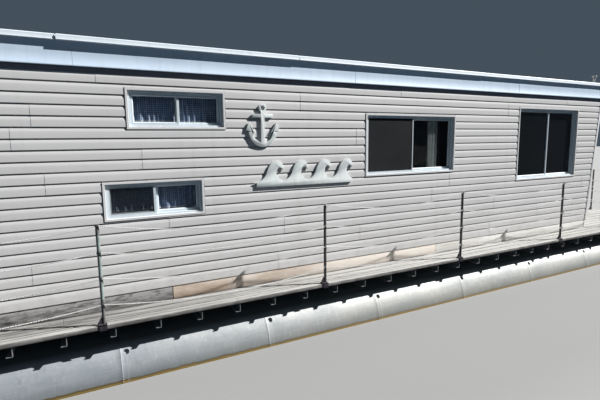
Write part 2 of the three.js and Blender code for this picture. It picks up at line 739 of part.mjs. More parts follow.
place('stern_door_frame', sternFrame(), 'frame');
place('stern_door_leaf', sternLeaf(), 'frame');
place('stern_door_glass', box(
  [leafX[0] + STERN_DOOR.glassSetback, leafX[0] + STERN_DOOR.glassSetback + STERN_DOOR.glass],
  [-lightHalf + GAP, lightHalf - GAP],
  [STERN_DOOR.light[0] + GAP, STERN_DOOR.light[1] - GAP],
), 'glass');

// Bow door: a frame with a fixed panel to starboard, and a panel that slides inside it from port

const TRACK_OUTER = CABIN_BOW_FOOT - BOW_DOOR.setback; // outer face of the fixed panel
const TRACK_INNER = TRACK_OUTER - BOW_DOOR.thick - BOW_DOOR.clearance;

function panelFrame(face, y, z, stile) {
  const outer = box([face - BOW_DOOR.thick, face], y, z);
  const hole = box(
    [face - BOW_DOOR.thick - OVERCUT, face + OVERCUT],
    [y[0] + stile, y[1] - stile],
    [z[0] + stile, z[1] - stile],
  );
  return outer.subtract(hole);
}

function panelGlass(face, y, z, stile) {
  const middle = face - BOW_DOOR.thick / 2;
  return box([middle - BOW_DOOR.glass / 2, middle + BOW_DOOR.glass / 2],
    [y[0] + stile + GAP, y[1] - stile - GAP], [z[0] + stile + GAP, z[1] - stile - GAP]);
}

const { half: doorHalf, frame: doorFrame, stile, clearance } = BOW_DOOR;
const lightZ = [BOW_DOOR.sill + doorFrame, BOW_DOOR.head - doorFrame];
const fixedY = [-doorHalf + doorFrame - BITE, stile / 2];
const fixedZ = [lightZ[0] - BITE, lightZ[1] + BITE];
const slideY = [-stile / 2, doorHalf - doorFrame - clearance];
const slideZ = [lightZ[0] + clearance, lightZ[1] - clearance];

function bowFrame() {
  const inside = CABIN_BOW_FOOT - WALL;
  const outside = CABIN_BOW_FOOT + DOOR_PROUD;
  const outer = box([inside, outside], [-doorHalf, doorHalf], [BOW_DOOR.sill, BOW_DOOR.head]);
  const clear = doorHalf - doorFrame;
  const hole = box([inside - OVERCUT, outside + OVERCUT], [-clear, clear], lightZ);
  const middle = TRACK_INNER - BOW_DOOR.thick / 2;
  const rail = box(
    [middle - BOW_DOOR.rail / 2, middle + BOW_DOOR.rail / 2],
    [-clear - BITE, clear + BITE],
    [fixedZ[0], slideZ[0] - GAP],
  );
  return joined([outer.subtract(hole), panelFrame(TRACK_OUTER, fixedY, fixedZ, stile), rail]);
}

place('bow_door_frame', raked(bowFrame()), 'frame');
place('bow_door_fixed_glass', raked(panelGlass(TRACK_OUTER, fixedY, fixedZ, stile)), 'glass');
place('bow_door_slider', raked(panelFrame(TRACK_INNER, slideY, slideZ, stile)), 'frame');
place('bow_door_slider_glass', raked(panelGlass(TRACK_INNER, slideY, slideZ, stile)), 'glass');

// Outboard: bracket and transom board under the stern deck, clamp, swivel, engine and propeller
const TILT = { x: -7020, z: 1065, pin: 14, pinHalf: 130, barrel: 30, barrelHalf: 90 };
const STEER = { x: -7115, pin: 20, pinZ: [790, 1110], tube: 40, tubeZ: [830, 1050] };
const RUNNING = 0.8; // a bore's radius over its pin's
const BOARD = { x: [-6965, -6915], half: 250, z: [690, 1040] };
const BRACKET = { y: 200, armHalf: 30, armClear: 4, webHalf: 8, webFoot: 720, webFore: DECK_STERN + 60 };
const CLAMP = {
  y: 112, half: 14, top: 1092, foot: 760, aftTop: [-7048, 1040], aftFoot: -7010,
  fore: -6890, foreTop: 1062, foreFoot: 950, shoulder: [-6995, -6985],
};
const SWIVEL_WEB = { half: 22, z: [900, 1045] };

function motorBracket() {
  const { y, armHalf, armClear, webHalf, webFoot, webFore } = BRACKET;
  const start = BOARD.x[1] - BITE;
  const end = JOIST_FIRST - JOIST_FLANGE - GAP;
  const board = box(BOARD.x, [-BOARD.half, BOARD.half], BOARD.z);
  const arms = [-1, 1].map((side) => box(
    [start, end],
    [side * y - armHalf, side * y + armHalf],
    [JOIST_BOTTOM, JOIST_TOP - armClear],
  ));
  const braces = [-1, 1].map((side) => alongY(outline([
    [start, webFoot], [start, JOIST_BOTTOM + BITE], [webFore, JOIST_BOTTOM + BITE],
  ]), [side * y - webHalf, side * y + webHalf]));
  return joined([board, ...arms, ...braces]);
}

function clamp() {
  const { y, half, top, foot, aftTop, aftFoot, fore, foreTop, foreFoot, shoulder } = CLAMP;
  const cheek = outline([
    [aftTop[0], top],
    aftTop,
    [aftFoot, foot],
    [BOARD.x[0] - GAP, foot],
    [BOARD.x[0] - GAP, BOARD.z[1] + GAP],
    [BOARD.x[1] + GAP, BOARD.z[1] + GAP],
    [BOARD.x[1] + GAP, foreFoot],
    [fore, foreFoot],
    [fore, foreTop],
    [shoulder[1], foreTop],
    [shoulder[0], top],
  ]);
  const cheeks = [-1, 1].map((side) => alongY(cheek, [side * y - half, side * y + half]));
  const pin = rod([TILT.x, -TILT.pinHalf, TILT.z], [TILT.x, TILT.pinHalf, TILT.z], TILT.pin, 16);
  return joined([...cheeks, pin]);
}

function swivel() {
  const across = (reach, radius) => rod([TILT.x, -reach, TILT.z], [TILT.x, reach, TILT.z], radius, 16);
  const upright = (z, radius) => rod([STEER.x, 0, z[0]], [STEER.x, 0, z[1]], radius, 16);
  const barrel = across(TILT.barrelHalf, TILT.barrel);
  const tube = upright(STEER.tubeZ, STEER.tube);
  const web = box([STEER.x, TILT.x], [-SWIVEL_WEB.half, SWIVEL_WEB.half], SWIVEL_WEB.z);
  const bore = across(TILT.barrelHalf + OVERCUT, TILT.pin + RUNNING);
  const steerBore = upright([STEER.tubeZ[0] - OVERCUT, STEER.tubeZ[1] + OVERCUT], STEER.pin + RUNNING);
  return barrel.add(tube).add(web).subtract(bore).subtract(steerBore);
}

// The cowl, and at each of its levels the inset from its widest outline
const COWL = { x: [-HALF_LENGTH, -6965], half: 170, z: [1200, 1660], radius: 100, least: 50, sides: 28 };
const COWL_LEVELS = [
  { z: COWL.z[0], inset: 22 }, { z: COWL.z[0] + 40, inset: 0 }, { z: COWL.z[1] - 150, inset: 4 },
  { z: COWL.z[1] - 45, inset: 26 }, { z: COWL.z[1], inset: 84 },
];
const PROP = { x: -7448, z: 235, radius: 160, hub: 38, hubHalf: 36, root: 12, shaft: 12 };
const BLADE = { half: 46, corner: 40, thick: 8, pitch: 52, count: 3 };
const GEARCASE = { aft: -7405, fore: -7160, radius: 50, bore: 42, shaftEnd: 36 };
const YOKES = [
  { aft: -7260, half: 52, z: [1060, 1110] },
  { aft: -7230, half: 42, z: [780, 822] },
];
const YOKE_REACH = 34; // ahead of the steering pin
const LEG_SECTIONS = [
  { x: [-7350, -7180], half: 62, corner: 45, z: [760, COWL.z[0] + 20] },
  { x: [-7340, -7190], half: 44, corner: 36, z: [405, 770] },
  { x: [-7470, -7160], half: 100, corner: 70, z: [398, 412] },
  { x: [-7345, -7190], half: 22, corner: 18, z: [PROP.z, 405] },
];
const SKEG = { half: 6, points: [[-7350, PROP.z], [-7330, 45], [-7280, 45], [-7200, PROP.z]] };

function cowl() {
  const rings = COWL_LEVELS.map(({ z, inset }) => {
    const x = [COWL.x[0] + inset, COWL.x[1] - inset];
    const y = [-COWL.half + inset, COWL.half - inset];
    const shape = roundedRect(x, y, Math.max(COWL.radius - inset, COWL.least));
    return shape.getSpacedPoints(COWL.sides).slice(0, COWL.sides).map((point) => [point.x, point.y, z]);
  });
  return lofted(rings);
}

function engine() {
  const shaft = rod([STEER.x, 0, STEER.pinZ[0]], [STEER.x, 0, STEER.pinZ[1]], STEER.pin, 16);
  const yokes = YOKES.map(({ aft, half, z }) => box([aft, STEER.x + YOKE_REACH], [-half, half], z));
  const leg = LEG_SECTIONS.map(({ x, half, corner, z }) => alongZ(roundedRect(x, [-half, half], corner), z));
  const gearcase = rod([GEARCASE.aft, 0, PROP.z], [GEARCASE.fore, 0, PROP.z], GEARCASE.radius, 20);
  const nose = solid(new THREE.SphereGeometry(GEARCASE.radius, 20, 10)).translate([GEARCASE.fore, 0, PROP.z]);
  const skeg = alongY(outline(SKEG.points), [-SKEG.half, SKEG.half]);
  const bore = rod(
    [GEARCASE.aft - OVERCUT, 0, PROP.z],
    [GEARCASE.aft + GEARCASE.bore, 0, PROP.z],
    PROP.shaft + RUNNING,
    16,
  );
  return joined([shaft, ...yokes, ...leg, gearcase, nose, skeg, cowl()]).subtract(bore);
}

function propeller() {
  const hub = rod([PROP.x - PROP.hubHalf, 0, 0], [PROP.x + PROP.hubHalf, 0, 0], PROP.hub, 18);
  const shaft = rod([PROP.x, 0, 0], [GEARCASE.aft + GEARCASE.shaftEnd, 0, 0], PROP.shaft, 16);
  const shape = roundedRect([-BLADE.half, BLADE.half], [PROP.hub - PROP.root, PROP.radius], BLADE.corner);
  const flat = alongX(shape, [-BLADE.thick / 2, BLADE.thick / 2]);
  const blade = flat.rotate([0, 0, BLADE.pitch]).translate([PROP.x, 0, 0]);
  const blades = Array.from({ length: BLADE.count }, (_, i) => blade.rotate([(i * 360) / BLADE.count, 0, 0]));
  return joined([hub, shaft, ...blades]).translate([0, 0, PROP.z]);
}

place('motor_bracket', motorBracket(), 'steel');
place('outboard_clamp', clamp(), 'alloy');
place('outboard_swivel', swivel(), 'alloy');
place('outboard_engine', engine(), 'cowl');
place('propeller', propeller(), 'alloy');

export default vessel;
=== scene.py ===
"""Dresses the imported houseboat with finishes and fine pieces, in metres, around the frame's solids."""

import logging
import math
import random
from collections.abc import Callable, Iterable, Sequence
from dataclasses import dataclass, field
from enum import Enum

import bmesh
import bpy
from mathutils import Matrix, Vector, noise


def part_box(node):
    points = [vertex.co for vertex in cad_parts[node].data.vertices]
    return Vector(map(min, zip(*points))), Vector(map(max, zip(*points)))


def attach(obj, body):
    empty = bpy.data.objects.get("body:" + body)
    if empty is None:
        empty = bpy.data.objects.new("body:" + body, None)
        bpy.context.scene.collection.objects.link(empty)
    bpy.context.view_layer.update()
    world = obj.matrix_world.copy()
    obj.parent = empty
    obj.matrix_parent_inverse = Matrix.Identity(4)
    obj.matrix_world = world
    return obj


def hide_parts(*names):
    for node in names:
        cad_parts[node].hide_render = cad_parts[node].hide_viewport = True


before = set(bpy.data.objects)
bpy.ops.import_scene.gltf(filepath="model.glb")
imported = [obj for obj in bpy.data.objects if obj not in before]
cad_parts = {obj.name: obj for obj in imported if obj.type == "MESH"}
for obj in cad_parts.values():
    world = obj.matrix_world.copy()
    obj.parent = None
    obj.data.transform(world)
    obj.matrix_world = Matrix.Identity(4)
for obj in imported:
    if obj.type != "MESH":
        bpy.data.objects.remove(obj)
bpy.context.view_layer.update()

LOG = logging.getLogger("houseboat")

Point = tuple[float, float, float]
Pair = tuple[float, float]
Colour = tuple[float, float, float, float]
Socket = bpy.types.NodeSocket
Value = Socket | float | Sequence[float]
Paint = Socket | Colour

EVEN: Point = (1.0, 1.0, 1.0)
HERE: Point = (0.0, 0.0, 0.0)
HALF_TURN: Point = (0.0, 0.0, math.pi)
MERGE = 1e-5
CREASE = 35.0
TREE_CREASE = 40.0
BEVEL_STEPS = 2
BEVEL_ANGLE = 30.0
SEAM = 0.0003


class Slot(Enum):
    """The record's material slots."""

    PONTOON = "pontoon_plate"
    STEEL = "galvanised_steel"
    PLANK = "deck_plank"
    FLOOR = "floor_board"
    SIDING = "siding"
    FRAME = "window_frame"
    GLASS = "window_glass"
    CURTAIN = "curtain_cloth"
    OLD_BOARD = "old_board"
    NEW_BOARD = "new_board"
    ROOF = "roof_sheet"
    FASCIA = "fascia_metal"
    EDGE = "edge_metal"
    ROPE = "guard_rope"
    ORNAMENT = "ornament_sheet"
    ALLOY = "motor_alloy"
    PAINT = "motor_paint"


class Side(Enum):
    """The cabin's four walls."""

    STARBOARD = "starboard"
    PORT = "port"
    STERN = "stern"
    BOW = "bow"


class Body(Enum):
    """The bodies of the frame."""

    HULL = "hull"
    SWIVEL = "swivel"
    ENGINE = "engine"
    PROPELLER = "propeller"
    BOW_SLIDER = "bow_slider"
    STERN_LEAF = "stern_leaf"


def shade(*screen: int) -> Colour:
    """Turns a screen colour, red, green and blue from 0 to 255, into the linear one that a shader takes."""
    parts = (part / 255 for part in screen)
    line = [c / 12.92 if c <= 0.04045 else ((c + 0.055) / 1.055) ** 2.4 for c in parts]
    return (line[0], line[1], line[2], 1.0)


class Nodes:
    """A node tree, built by short calls that return sockets."""

    def __init__(self, tree: bpy.types.NodeTree, start: str) -> None:
        """Keeps the tree, and the start of its own nodes' types."""
        self.tree, self.start = tree, start

    def put(self, socket: Socket, value: Value) -> None:
        """Links a socket to another, or sets it to a constant."""
        if isinstance(value, bpy.types.NodeSocket):
            self.tree.links.new(value, socket)
        else:
            socket.default_value = value

    def node(self, kind: str, inputs: dict[str | int, Value], output: str | int = 0,
             **settings: object) -> Socket:
        """Adds one node.

        Args:
            kind: Its type, in full or without the tree's own start.
            inputs: What each input is linked or set to.
            output: The output that is wanted.
            **settings: Properties of the node.

        Returns:
            The output's socket.
        """
        made = self.tree.nodes.new(kind if "Node" in kind else self.start + kind)
        for name, value in settings.items():
            setattr(made, name, value)
        for name, value in inputs.items():
            self.put(made.inputs[name], value)
        return made.outputs[output]

    def math(self, sort: str, a: Socket | float, b: Socket | float = 0.0) -> Socket:
        """Works out one step of arithmetic."""
        return self.node("ShaderNodeMath", {0: a, 1: b}, operation=sort)

    def times(self, a: Socket | float, b: Socket | float) -> Socket:
        """Multiplies two values."""
        return self.math("MULTIPLY", a, b)


class Graph(Nodes):
    """A material's node graph."""

    def __init__(self, name: str) -> None:
        """Starts a material that holds one principled shader."""
        self.material = bpy.data.materials.new(name)
        self.material.use_nodes = True
        super().__init__(self.material.node_tree, "ShaderNode")
        self.shader = self.tree.nodes["Principled BSDF"]

    def place(self, scale: Point = EVEN, source: str = "Object") -> Socket:
        """Gives Object or UV coordinates, stretched by a scale along each axis."""
        return self.node("Mapping", {"Vector": self.node("TexCoord", {}, source), "Scale": scale})

    def axis(self, name: str, source: str = "Object") -> Socket:
        """Gives one coordinate, X, Y or Z, in metres."""
        return self.node("SeparateXYZ", {"Vector": self.place(source=source)}, name)

    def mark(self) -> Socket:
        """Gives the number that a face carries in its mesh."""
        return self.node("Attribute", {}, "Fac", attribute_name="mark")

    def noise(self, place: Socket | Point, scale: float, detail: float = 3.0, rough: float = 0.5,
              twist: float = 0.0) -> Socket:
        """Gives fractal noise from 0 to 1, at a place or over coordinates stretched by a scale."""
        spot = place if isinstance(place, bpy.types.NodeSocket) else self.place(place)
        return self.node("TexNoise", {"Vector": spot, "Scale": scale, "Detail": detail, "Roughness": rough,
                                      "Distortion": twist})

    def level(self, value: Socket, low: float, high: float, to_low: float = 0.0,
              to_high: float = 1.0) -> Socket:
        """Stretches a value from one range to another, held inside it."""
        return self.node("MapRange", {"Value": value, "From Min": low, "From Max": high, "To Min": to_low,
                                      "To Max": to_high}, "Result")

    def blend(self, amount: Socket | float, a: Paint, b: Paint, sort: str = "MIX") -> Socket:
        """Blends two colours."""
        return self.node("Mix", {0: amount, 6: a, 7: b}, 2, data_type="RGBA", blend_type=sort)

    def tint(self, tone: Paint, colour: Paint, value: Socket, low: float, high: float,
             most: float = 1.0) -> Socket:
        """Blends a colour over a tone, from nothing where a value is low to a share where it is high."""
        return self.blend(self.level(value, low, high, 0.0, most), tone, colour)

    def bump(self, height: Socket, strength: float, depth: float, under: Socket | None = None) -> Socket:
        """Gives a normal that follows a height of some depth in metres, added to the normal under it."""
        below = {} if under is None else {"Normal": under}
        return self.node("Bump", {"Strength": strength, "Distance": depth, "Height": height, **below})

    def close(self, colour: Paint, rough: Socket | float, metal: float = 0.0, normal: Socket | None = None,
              **more: Value) -> bpy.types.Material:
        """Wires the shader and gives the material.

        Args:
            colour: Base colour.
            rough: Roughness.
            metal: Metalness.
            normal: Normal, where there is one.
            **more: Other inputs of the shader, by name with _ for a space.

        Returns:
            The finished material.
        """
        wired = {"Base_Color": colour, "Roughness": rough, "Metallic": metal, **more}
        if normal is not None:
            wired["Normal"] = normal
        for name, value in wired.items():
            self.put(self.shader.inputs[name.replace("_", " ")], value)
        return self.material


@dataclass(frozen=True)
class Finish:
    """A surface finish. Each kind draws its own graph, once."""

    name: str

    def draw(self, graph: Graph) -> bpy.types.Material:
        """Draws the graph."""
        raise NotImplementedError

    def material(self) -> bpy.types.Material:
        """Gives the material, drawn at the first call."""
        name = f"finish_{self.name}"
        return bpy.data.materials.get(name) or self.draw(Graph(name))


@dataclass(frozen=True)
class Vinyl(Finish):
    """Pale lap siding with a pressed grain, faint streaks and some dirt between two heights."""

    base: Colour
    grain: float = 0.0004
    dirty: Pair = (1.7, 1.2)

    def draw(self, graph: Graph) -> bpy.types.Material:
        """Draws a cloudy tone, run marks, dirt low down and a grain along the boards."""
        cloud = graph.noise(EVEN, 0.8, 4)
        dull = tuple(c * 0.86 for c in self.base[:3]) + (1.0,)
        tone = graph.tint(self.base, dull, cloud, 0.35, 0.7, 0.6)
        tone = graph.tint(tone, shade(160, 154, 146), graph.noise((9.0, 9.0, 0.5), 1.0, 4), 0.55, 0.8, 0.14)
        tone = graph.tint(tone, shade(168, 160, 152), graph.mark(), 0.0, 1.0, 0.12)
        spots = graph.level(graph.noise((3.0, 3.0, 5.0), 2.4, 6, 0.7), 0.45, 0.75, 0.0, 0.3)
        dirt = graph.times(graph.level(graph.axis("Z"), *self.dirty), spots)
        tone = graph.blend(dirt, tone, shade(150, 142, 130))
        pressed = graph.bump(graph.noise((5.0, 90.0, 90.0), 1.0, 4, 0.6), 0.6, self.grain)
        rough = graph.level(cloud, 0.3, 0.7, 0.42, 0.58)
        return graph.close(tone, rough, normal=pressed, Specular_IOR_Level=0.35)


@dataclass(frozen=True)
class Coated(Finish):
    """Coated metal or plastic: an even colour with faint dirt, chalking and dents."""

    base: Colour
    grime: Colour
    amount: float = 0.35
    rough: Pair = (0.3, 0.5)
    metal: float = 0.0
    ripple: float = 0.0006
    coat: float = 0.0

    def draw(self, graph: Graph) -> bpy.types.Material:
        """Draws the coat, with run marks and patches of dirt in it."""
        cloud = graph.noise(EVEN, 1.6, 5, 0.6)
        runs = graph.noise((16.0, 16.0, 1.1), 1.0, 5, 0.6)
        specks = graph.noise(EVEN, 38.0, 3, 0.7)
        dirt = graph.times(graph.level(runs, 0.48, 0.78), graph.level(cloud, 0.35, 0.65, 0.4, 1.0))
        tone = graph.blend(graph.times(dirt, self.amount), self.base, self.grime)
        tone = graph.tint(tone, self.grime, specks, 0.62, 0.8, self.amount * 0.5)
        waves = graph.bump(graph.noise((1.0, 1.0, 2.0), 2.2, 2), 0.5, self.ripple * 8)
        rough = graph.level(cloud, 0.3, 0.7, *self.rough)
        normal = graph.bump(specks, 0.25, self.ripple, waves)
        return graph.close(tone, rough, self.metal, normal, Coat_Weight=self.coat, Coat_Roughness=0.12)


@dataclass(frozen=True)
class Timber(Finish):
    """Sawn boards with their grain along X, paler more and more between two places along X: real bleaching on
    some boards, painted light on the deck.
    """

    base: Colour
    grain: Colour
    worn: Colour
    split: float = 0.4
    stain: float = 0.0
    bleach_and_painted_light: Pair = (0.0, 0.0)

    def draw(self, graph: Graph) -> bpy.types.Material:
        """Draws long grain, splits, bleached patches, a tone of its own for each board, and darker ragged
        rims, which paint the shade in the gaps between boards.
        """
        own = graph.math("FRACT", graph.mark())
        moved = graph.node("VectorMath", {0: graph.place((1.2, 26.0, 26.0)), 1: graph.times(own, 37.0)},
                           operation="ADD")
        lines = graph.noise(moved, 1.5, 8, 0.62, 0.6)
        fine = graph.noise(moved, 6.0, 6, 0.7)
        tone = graph.tint(self.base, self.grain, lines, 0.38, 0.68)
        tone = graph.tint(tone, self.grain, fine, 0.45, 0.75, 0.45)
        tone = graph.tint(tone, self.worn, graph.noise((0.9, 2.5, 2.5), 1.4, 5, 0.6), 0.4, 0.7, 0.75)
        light = graph.level(own, 0.0, 1.0, 0.84, 1.12)
        tone = graph.node("VectorMath", {0: tone, "Scale": light}, operation="SCALE")
        splits = graph.level(graph.noise(moved, 3.1, 3, 0.5, 1.2), 0.66, 0.72)
        tone = graph.blend(graph.times(splits, self.split), tone, shade(52, 48, 44))
        if self.stain:
            blotch = graph.noise((5.0, 1.0, 14.0), 2.2, 8, 0.78)
            tone = graph.tint(tone, shade(70, 68, 66), blotch, 0.47, 0.62, self.stain)
        # Paler along X toward the worn tone: painted light on the deck, real bleaching on the new board.
        if self.bleach_and_painted_light[0] < self.bleach_and_painted_light[1]:
            tone = graph.tint(tone, self.worn, graph.axis("X"), *self.bleach_and_painted_light, 0.8)
        # Painted shade: each board's rims and sides are darkened with a ragged edge for the shade in the gaps
        # between boards; on the deck's outer edge this also gives its weathered grey.
        ragged_rim_shade = graph.level(graph.noise((9.0, 30.0, 30.0), 1.0, 5, 0.7), 0.35, 0.62, 0.3, 0.95)
        rim = graph.times(graph.math("GREATER_THAN", graph.mark(), 1.5), ragged_rim_shade)
        tone = graph.blend(rim, tone, shade(92, 88, 84))
        height = graph.math("SUBTRACT", lines, graph.times(splits, 0.8))
        normal = graph.bump(fine, 0.35, 0.0008, graph.bump(height, 0.6, 0.0016))
        rough = graph.level(fine, 0.3, 0.7, 0.72, 0.92)
        return graph.close(tone, rough, normal=normal, Specular_IOR_Level=0.25)


@dataclass(frozen=True)
class Plate(Finish):
    """The pontoons' dull plate: pale, with painted shade toward the waterline, under the deck and aft,
    stained in a band at the waterline, scummed below it.
    """

    waterline: float
    hole_first: float
    hole_pitch: float
    hole_level: float

    def drips(self, graph: Graph, runs: Socket) -> Socket:
        """Gives the run marks below the drain holes."""
        turn = graph.math("DIVIDE", graph.math("SUBTRACT", graph.axis("X"), self.hole_first), self.hole_pitch)
        near = graph.math("ABSOLUTE", graph.math("SUBTRACT", turn, graph.math("ROUND", turn)))
        wide = graph.level(graph.math("ADD", near, graph.level(runs, 0.3, 0.7, -0.003, 0.003)), 0.007, 0.002)
        below = graph.level(graph.axis("Z"), self.hole_level + 0.01, self.hole_level - 0.03)
        return graph.times(graph.times(wide, below), 0.18)

    def draw(self, graph: Graph) -> bpy.types.Material:
        """Draws the plate's tone by height, with painted shade low down, under the deck and greyer aft, and
        run marks.
        """
        water, up, along = self.waterline, graph.axis("Z"), graph.axis("X")
        cloud = graph.noise((1.0, 1.0, 2.2), 1.5, 6, 0.6)
        brush = graph.noise((2.0, 60.0, 60.0), 1.0, 4, 0.7)
        runs = graph.noise((14.0, 14.0, 0.8), 1.0, 5, 0.65)
        streak = graph.noise((30.0, 30.0, 1.6), 1.0, 4, 0.7)
        height = graph.math("ADD", up, graph.level(runs, 0.3, 0.7, -0.035, 0.035))
        line = graph.math("ADD", up, graph.level(runs, 0.3, 0.7, -0.006, 0.006))
        tone = graph.tint(shade(174, 175, 174), shade(146, 151, 154), cloud, 0.35, 0.65)
        tone = graph.tint(tone, shade(190, 191, 188), brush, 0.45, 0.75, 0.3)
        tone = graph.tint(tone, shade(132, 134, 131), runs, 0.54, 0.72, 0.4)
        tone = graph.tint(tone, shade(212, 213, 208), streak, 0.56, 0.7, 0.35)
        # Painted shade: darker toward the waterline, where the float's side turns away from the light.
        tone = graph.tint(tone, shade(118, 116, 98), height, water + 0.14, water + 0.02, 0.3)
        strong = graph.level(along, -3.2, 1.2, 0.92, 0.35)
        band = graph.times(graph.level(line, water + 0.042, water + 0.030), strong)
        tone = graph.blend(band, tone, shade(118, 96, 50))
        tone = graph.tint(tone, shade(178, 146, 78), line, water + 0.022, water + 0.016, 0.85)
        # Painted shade: darker above z 0.775, under the deck.
        tone = graph.tint(tone, shade(98, 101, 101), up, 0.775, 0.815)
        tone = graph.tint(tone, shade(74, 78, 58), height, water - 0.01, water - 0.09, 0.9)
        tone = graph.blend(self.drips(graph, runs), tone, shade(206, 208, 200))
        # Painted shade: cooler and darker aft, warmer and brighter ahead.
        ahead = graph.tint(shade(230, 234, 240), shade(255, 251, 244), along, -3.3, 0.0)
        tone = graph.blend(1.0, tone, ahead, "MULTIPLY")
        tone = graph.tint(tone, shade(116, 118, 116), graph.mark(), 0.2, 0.8, 0.4)
        normal = graph.bump(brush, 0.3, 0.0005, graph.bump(cloud, 0.5, 0.004))
        return graph.close(tone, graph.level(cloud, 0.3, 0.7, 0.52, 0.64), 0.32, normal)


@dataclass(frozen=True)
class Zinc(Finish):
    """Weathered galvanised steel with spangle and some rust."""

    base: Colour = shade(150, 152, 152)
    rust: float = 0.25

    def draw(self, graph: Graph) -> bpy.types.Material:
        """Draws spangle cells, white bloom and rust spots."""
        spangle = graph.node("TexVoronoi", {"Vector": graph.place(), "Scale": 55.0}, "Color")
        cloud = graph.noise(EVEN, 5.0, 6, 0.65)
        tone = graph.blend(0.16, self.base, spangle, "OVERLAY")
        tone = graph.tint(tone, shade(108, 108, 106), cloud, 0.4, 0.7, 0.5)
        tone = graph.tint(tone, shade(98, 58, 34), graph.noise(EVEN, 11.0, 7, 0.7), 0.58, 0.7, self.rust)
        rough = graph.level(cloud, 0.3, 0.7, 0.42, 0.66)
        return graph.close(tone, rough, 0.55, graph.bump(cloud, 0.3, 0.001))


@dataclass(frozen=True)
class RustyTube(Finish):
    """Old tube: scale and rust over steel, with what is left of green paint where its mark says."""

    dark: Colour = shade(76, 74, 73)
    light: Colour = shade(116, 113, 109)
    rust: float = 0.3

    def draw(self, graph: Graph) -> bpy.types.Material:
        """Draws dark scale, rust bloom and flaking paint."""
        scale = graph.noise(EVEN, 26.0, 7, 0.7)
        bloom = graph.noise((1.0, 1.0, 0.4), 13.0, 6, 0.65)
        tone = graph.tint(self.dark, self.light, scale, 0.4, 0.65)
        tone = graph.tint(tone, shade(104, 72, 54), bloom, 0.56, 0.74, self.rust)
        left = graph.level(graph.noise((1.0, 1.0, 0.6), 17.0, 7, 0.75), 0.38, 0.46)
        paint = graph.tint(shade(146, 157, 152), shade(110, 120, 116), scale, 0.4, 0.7)
        tone = graph.blend(graph.times(left, graph.mark()), tone, paint)
        rough = graph.level(scale, 0.3, 0.7, 0.62, 0.88)
        return graph.close(tone, rough, 0.2, graph.bump(scale, 0.5, 0.0012))


@dataclass(frozen=True)
class Fibre(Finish):
    """Twisted rope: pale fibre, greyer in its grooves."""

    base: Colour = shade(218, 217, 214)
    worn: Colour = shade(156, 153, 147)

    def draw(self, graph: Graph) -> bpy.types.Material:
        """Draws fibres and worn, dirty stretches."""
        hair = graph.noise(EVEN, 420.0, 4, 0.8)
        tone = graph.tint(self.base, self.worn, graph.noise(EVEN, 3.0, 6, 0.6), 0.42, 0.72, 0.8)
        tone = graph.tint(tone, self.worn, hair, 0.5, 0.8, 0.5)
        return graph.close(tone, 0.9, normal=graph.bump(hair, 0.7, 0.0008), Sheen_Weight=0.2)


@dataclass(frozen=True)
class Weave(Finish):
    """Woven cloth on its own cut: a fine check, pale worn streaks and a white hem. UV is in metres."""

    base: Colour = shade(74, 104, 146)
    deep: Colour = shade(56, 80, 118)
    pale: Colour = shade(206, 220, 236)
    hem: Colour = shade(246, 248, 250)
    stripe: float = 0.030
    check: float = 0.020
    hem_depth: float = 0.020
    thread: float = 5200.0

    def band(self, graph: Graph, across: Socket, pitch: float, strength: float) -> Socket:
        """Gives a mask of stripes that lie a pitch apart and take two fifths of it."""
        turn = graph.math("FRACT", graph.math("DIVIDE", across, pitch))
        off = graph.math("ABSOLUTE", graph.math("SUBTRACT", turn, 0.5))
        return graph.times(graph.level(off, 0.215, 0.2), strength)

    def draw(self, graph: Graph) -> bpy.types.Material:
        """Draws threads, the check, the streaks and the hem."""
        across, down = graph.axis("X", "UV"), graph.axis("Y", "UV")
        warp, weft = (graph.math("SINE", graph.times(line, self.thread)) for line in (across, down))
        tone = graph.tint(self.base, self.deep, graph.noise(EVEN, 3.0, 4), 0.35, 0.7)
        tone = graph.blend(self.band(graph, across, self.stripe, 0.5), tone, self.pale)
        tone = graph.blend(self.band(graph, down, self.check, 0.4), tone, self.pale)
        streak = graph.noise(graph.place((22.0, 22.0, 2.5), "UV"), 1.0, 3, 0.6)
        tone = graph.tint(tone, self.pale, streak, 0.55, 0.72, 0.6)
        tone = graph.tint(tone, self.hem, down, self.hem_depth + 0.002, self.hem_depth)
        woven = graph.bump(graph.times(warp, weft), 0.3, 0.0004)
        return graph.close(tone, 0.92, normal=woven, Sheen_Weight=0.3, Sheen_Roughness=0.6)


@dataclass(frozen=True)
class Pane(Finish):
    """Window glass with a tinted veil, which paints the shade of the room behind it or the sky's reflection
    on it, and a little dust.
    """

    tint: Colour = shade(20, 22, 23)
    painted_veil: float = 0.82

    def draw(self, graph: Graph) -> bpy.types.Material:
        """Draws see-through glass under its painted veil, which dust makes duller in patches."""
        dust = graph.noise((3.0, 3.0, 3.0), 4.0, 6, 0.7)
        return graph.close(self.tint, graph.level(dust, 0.4, 0.7, 0.03, 0.12), Specular_IOR_Level=0.5,
                           Alpha=graph.level(dust, 0.35, 0.75, self.painted_veil, self.painted_veil + 0.08))


@dataclass(frozen=True)
class Mesh(Finish):
    """Insect screen: a fine dark weave that lets some light through."""

    base: Colour = shade(43, 44, 44)
    veil: Pair = (0.74, 0.92)

    def draw(self, graph: Graph) -> bpy.types.Material:
        """Draws the weave as an even grey veil with slight sag marks."""
        wires = graph.noise((600.0, 600.0, 600.0), 1.0, 2)
        tone = graph.tint(self.base, shade(36, 37, 39), graph.noise((1.0, 1.0, 1.5), 2.5, 3), 0.35, 0.7)
        return graph.close(tone, 0.9, normal=graph.bump(wires, 0.3, 0.0003), Specular_IOR_Level=0.12,
                           Alpha=graph.level(wires, 0.3, 0.7, *self.veil))


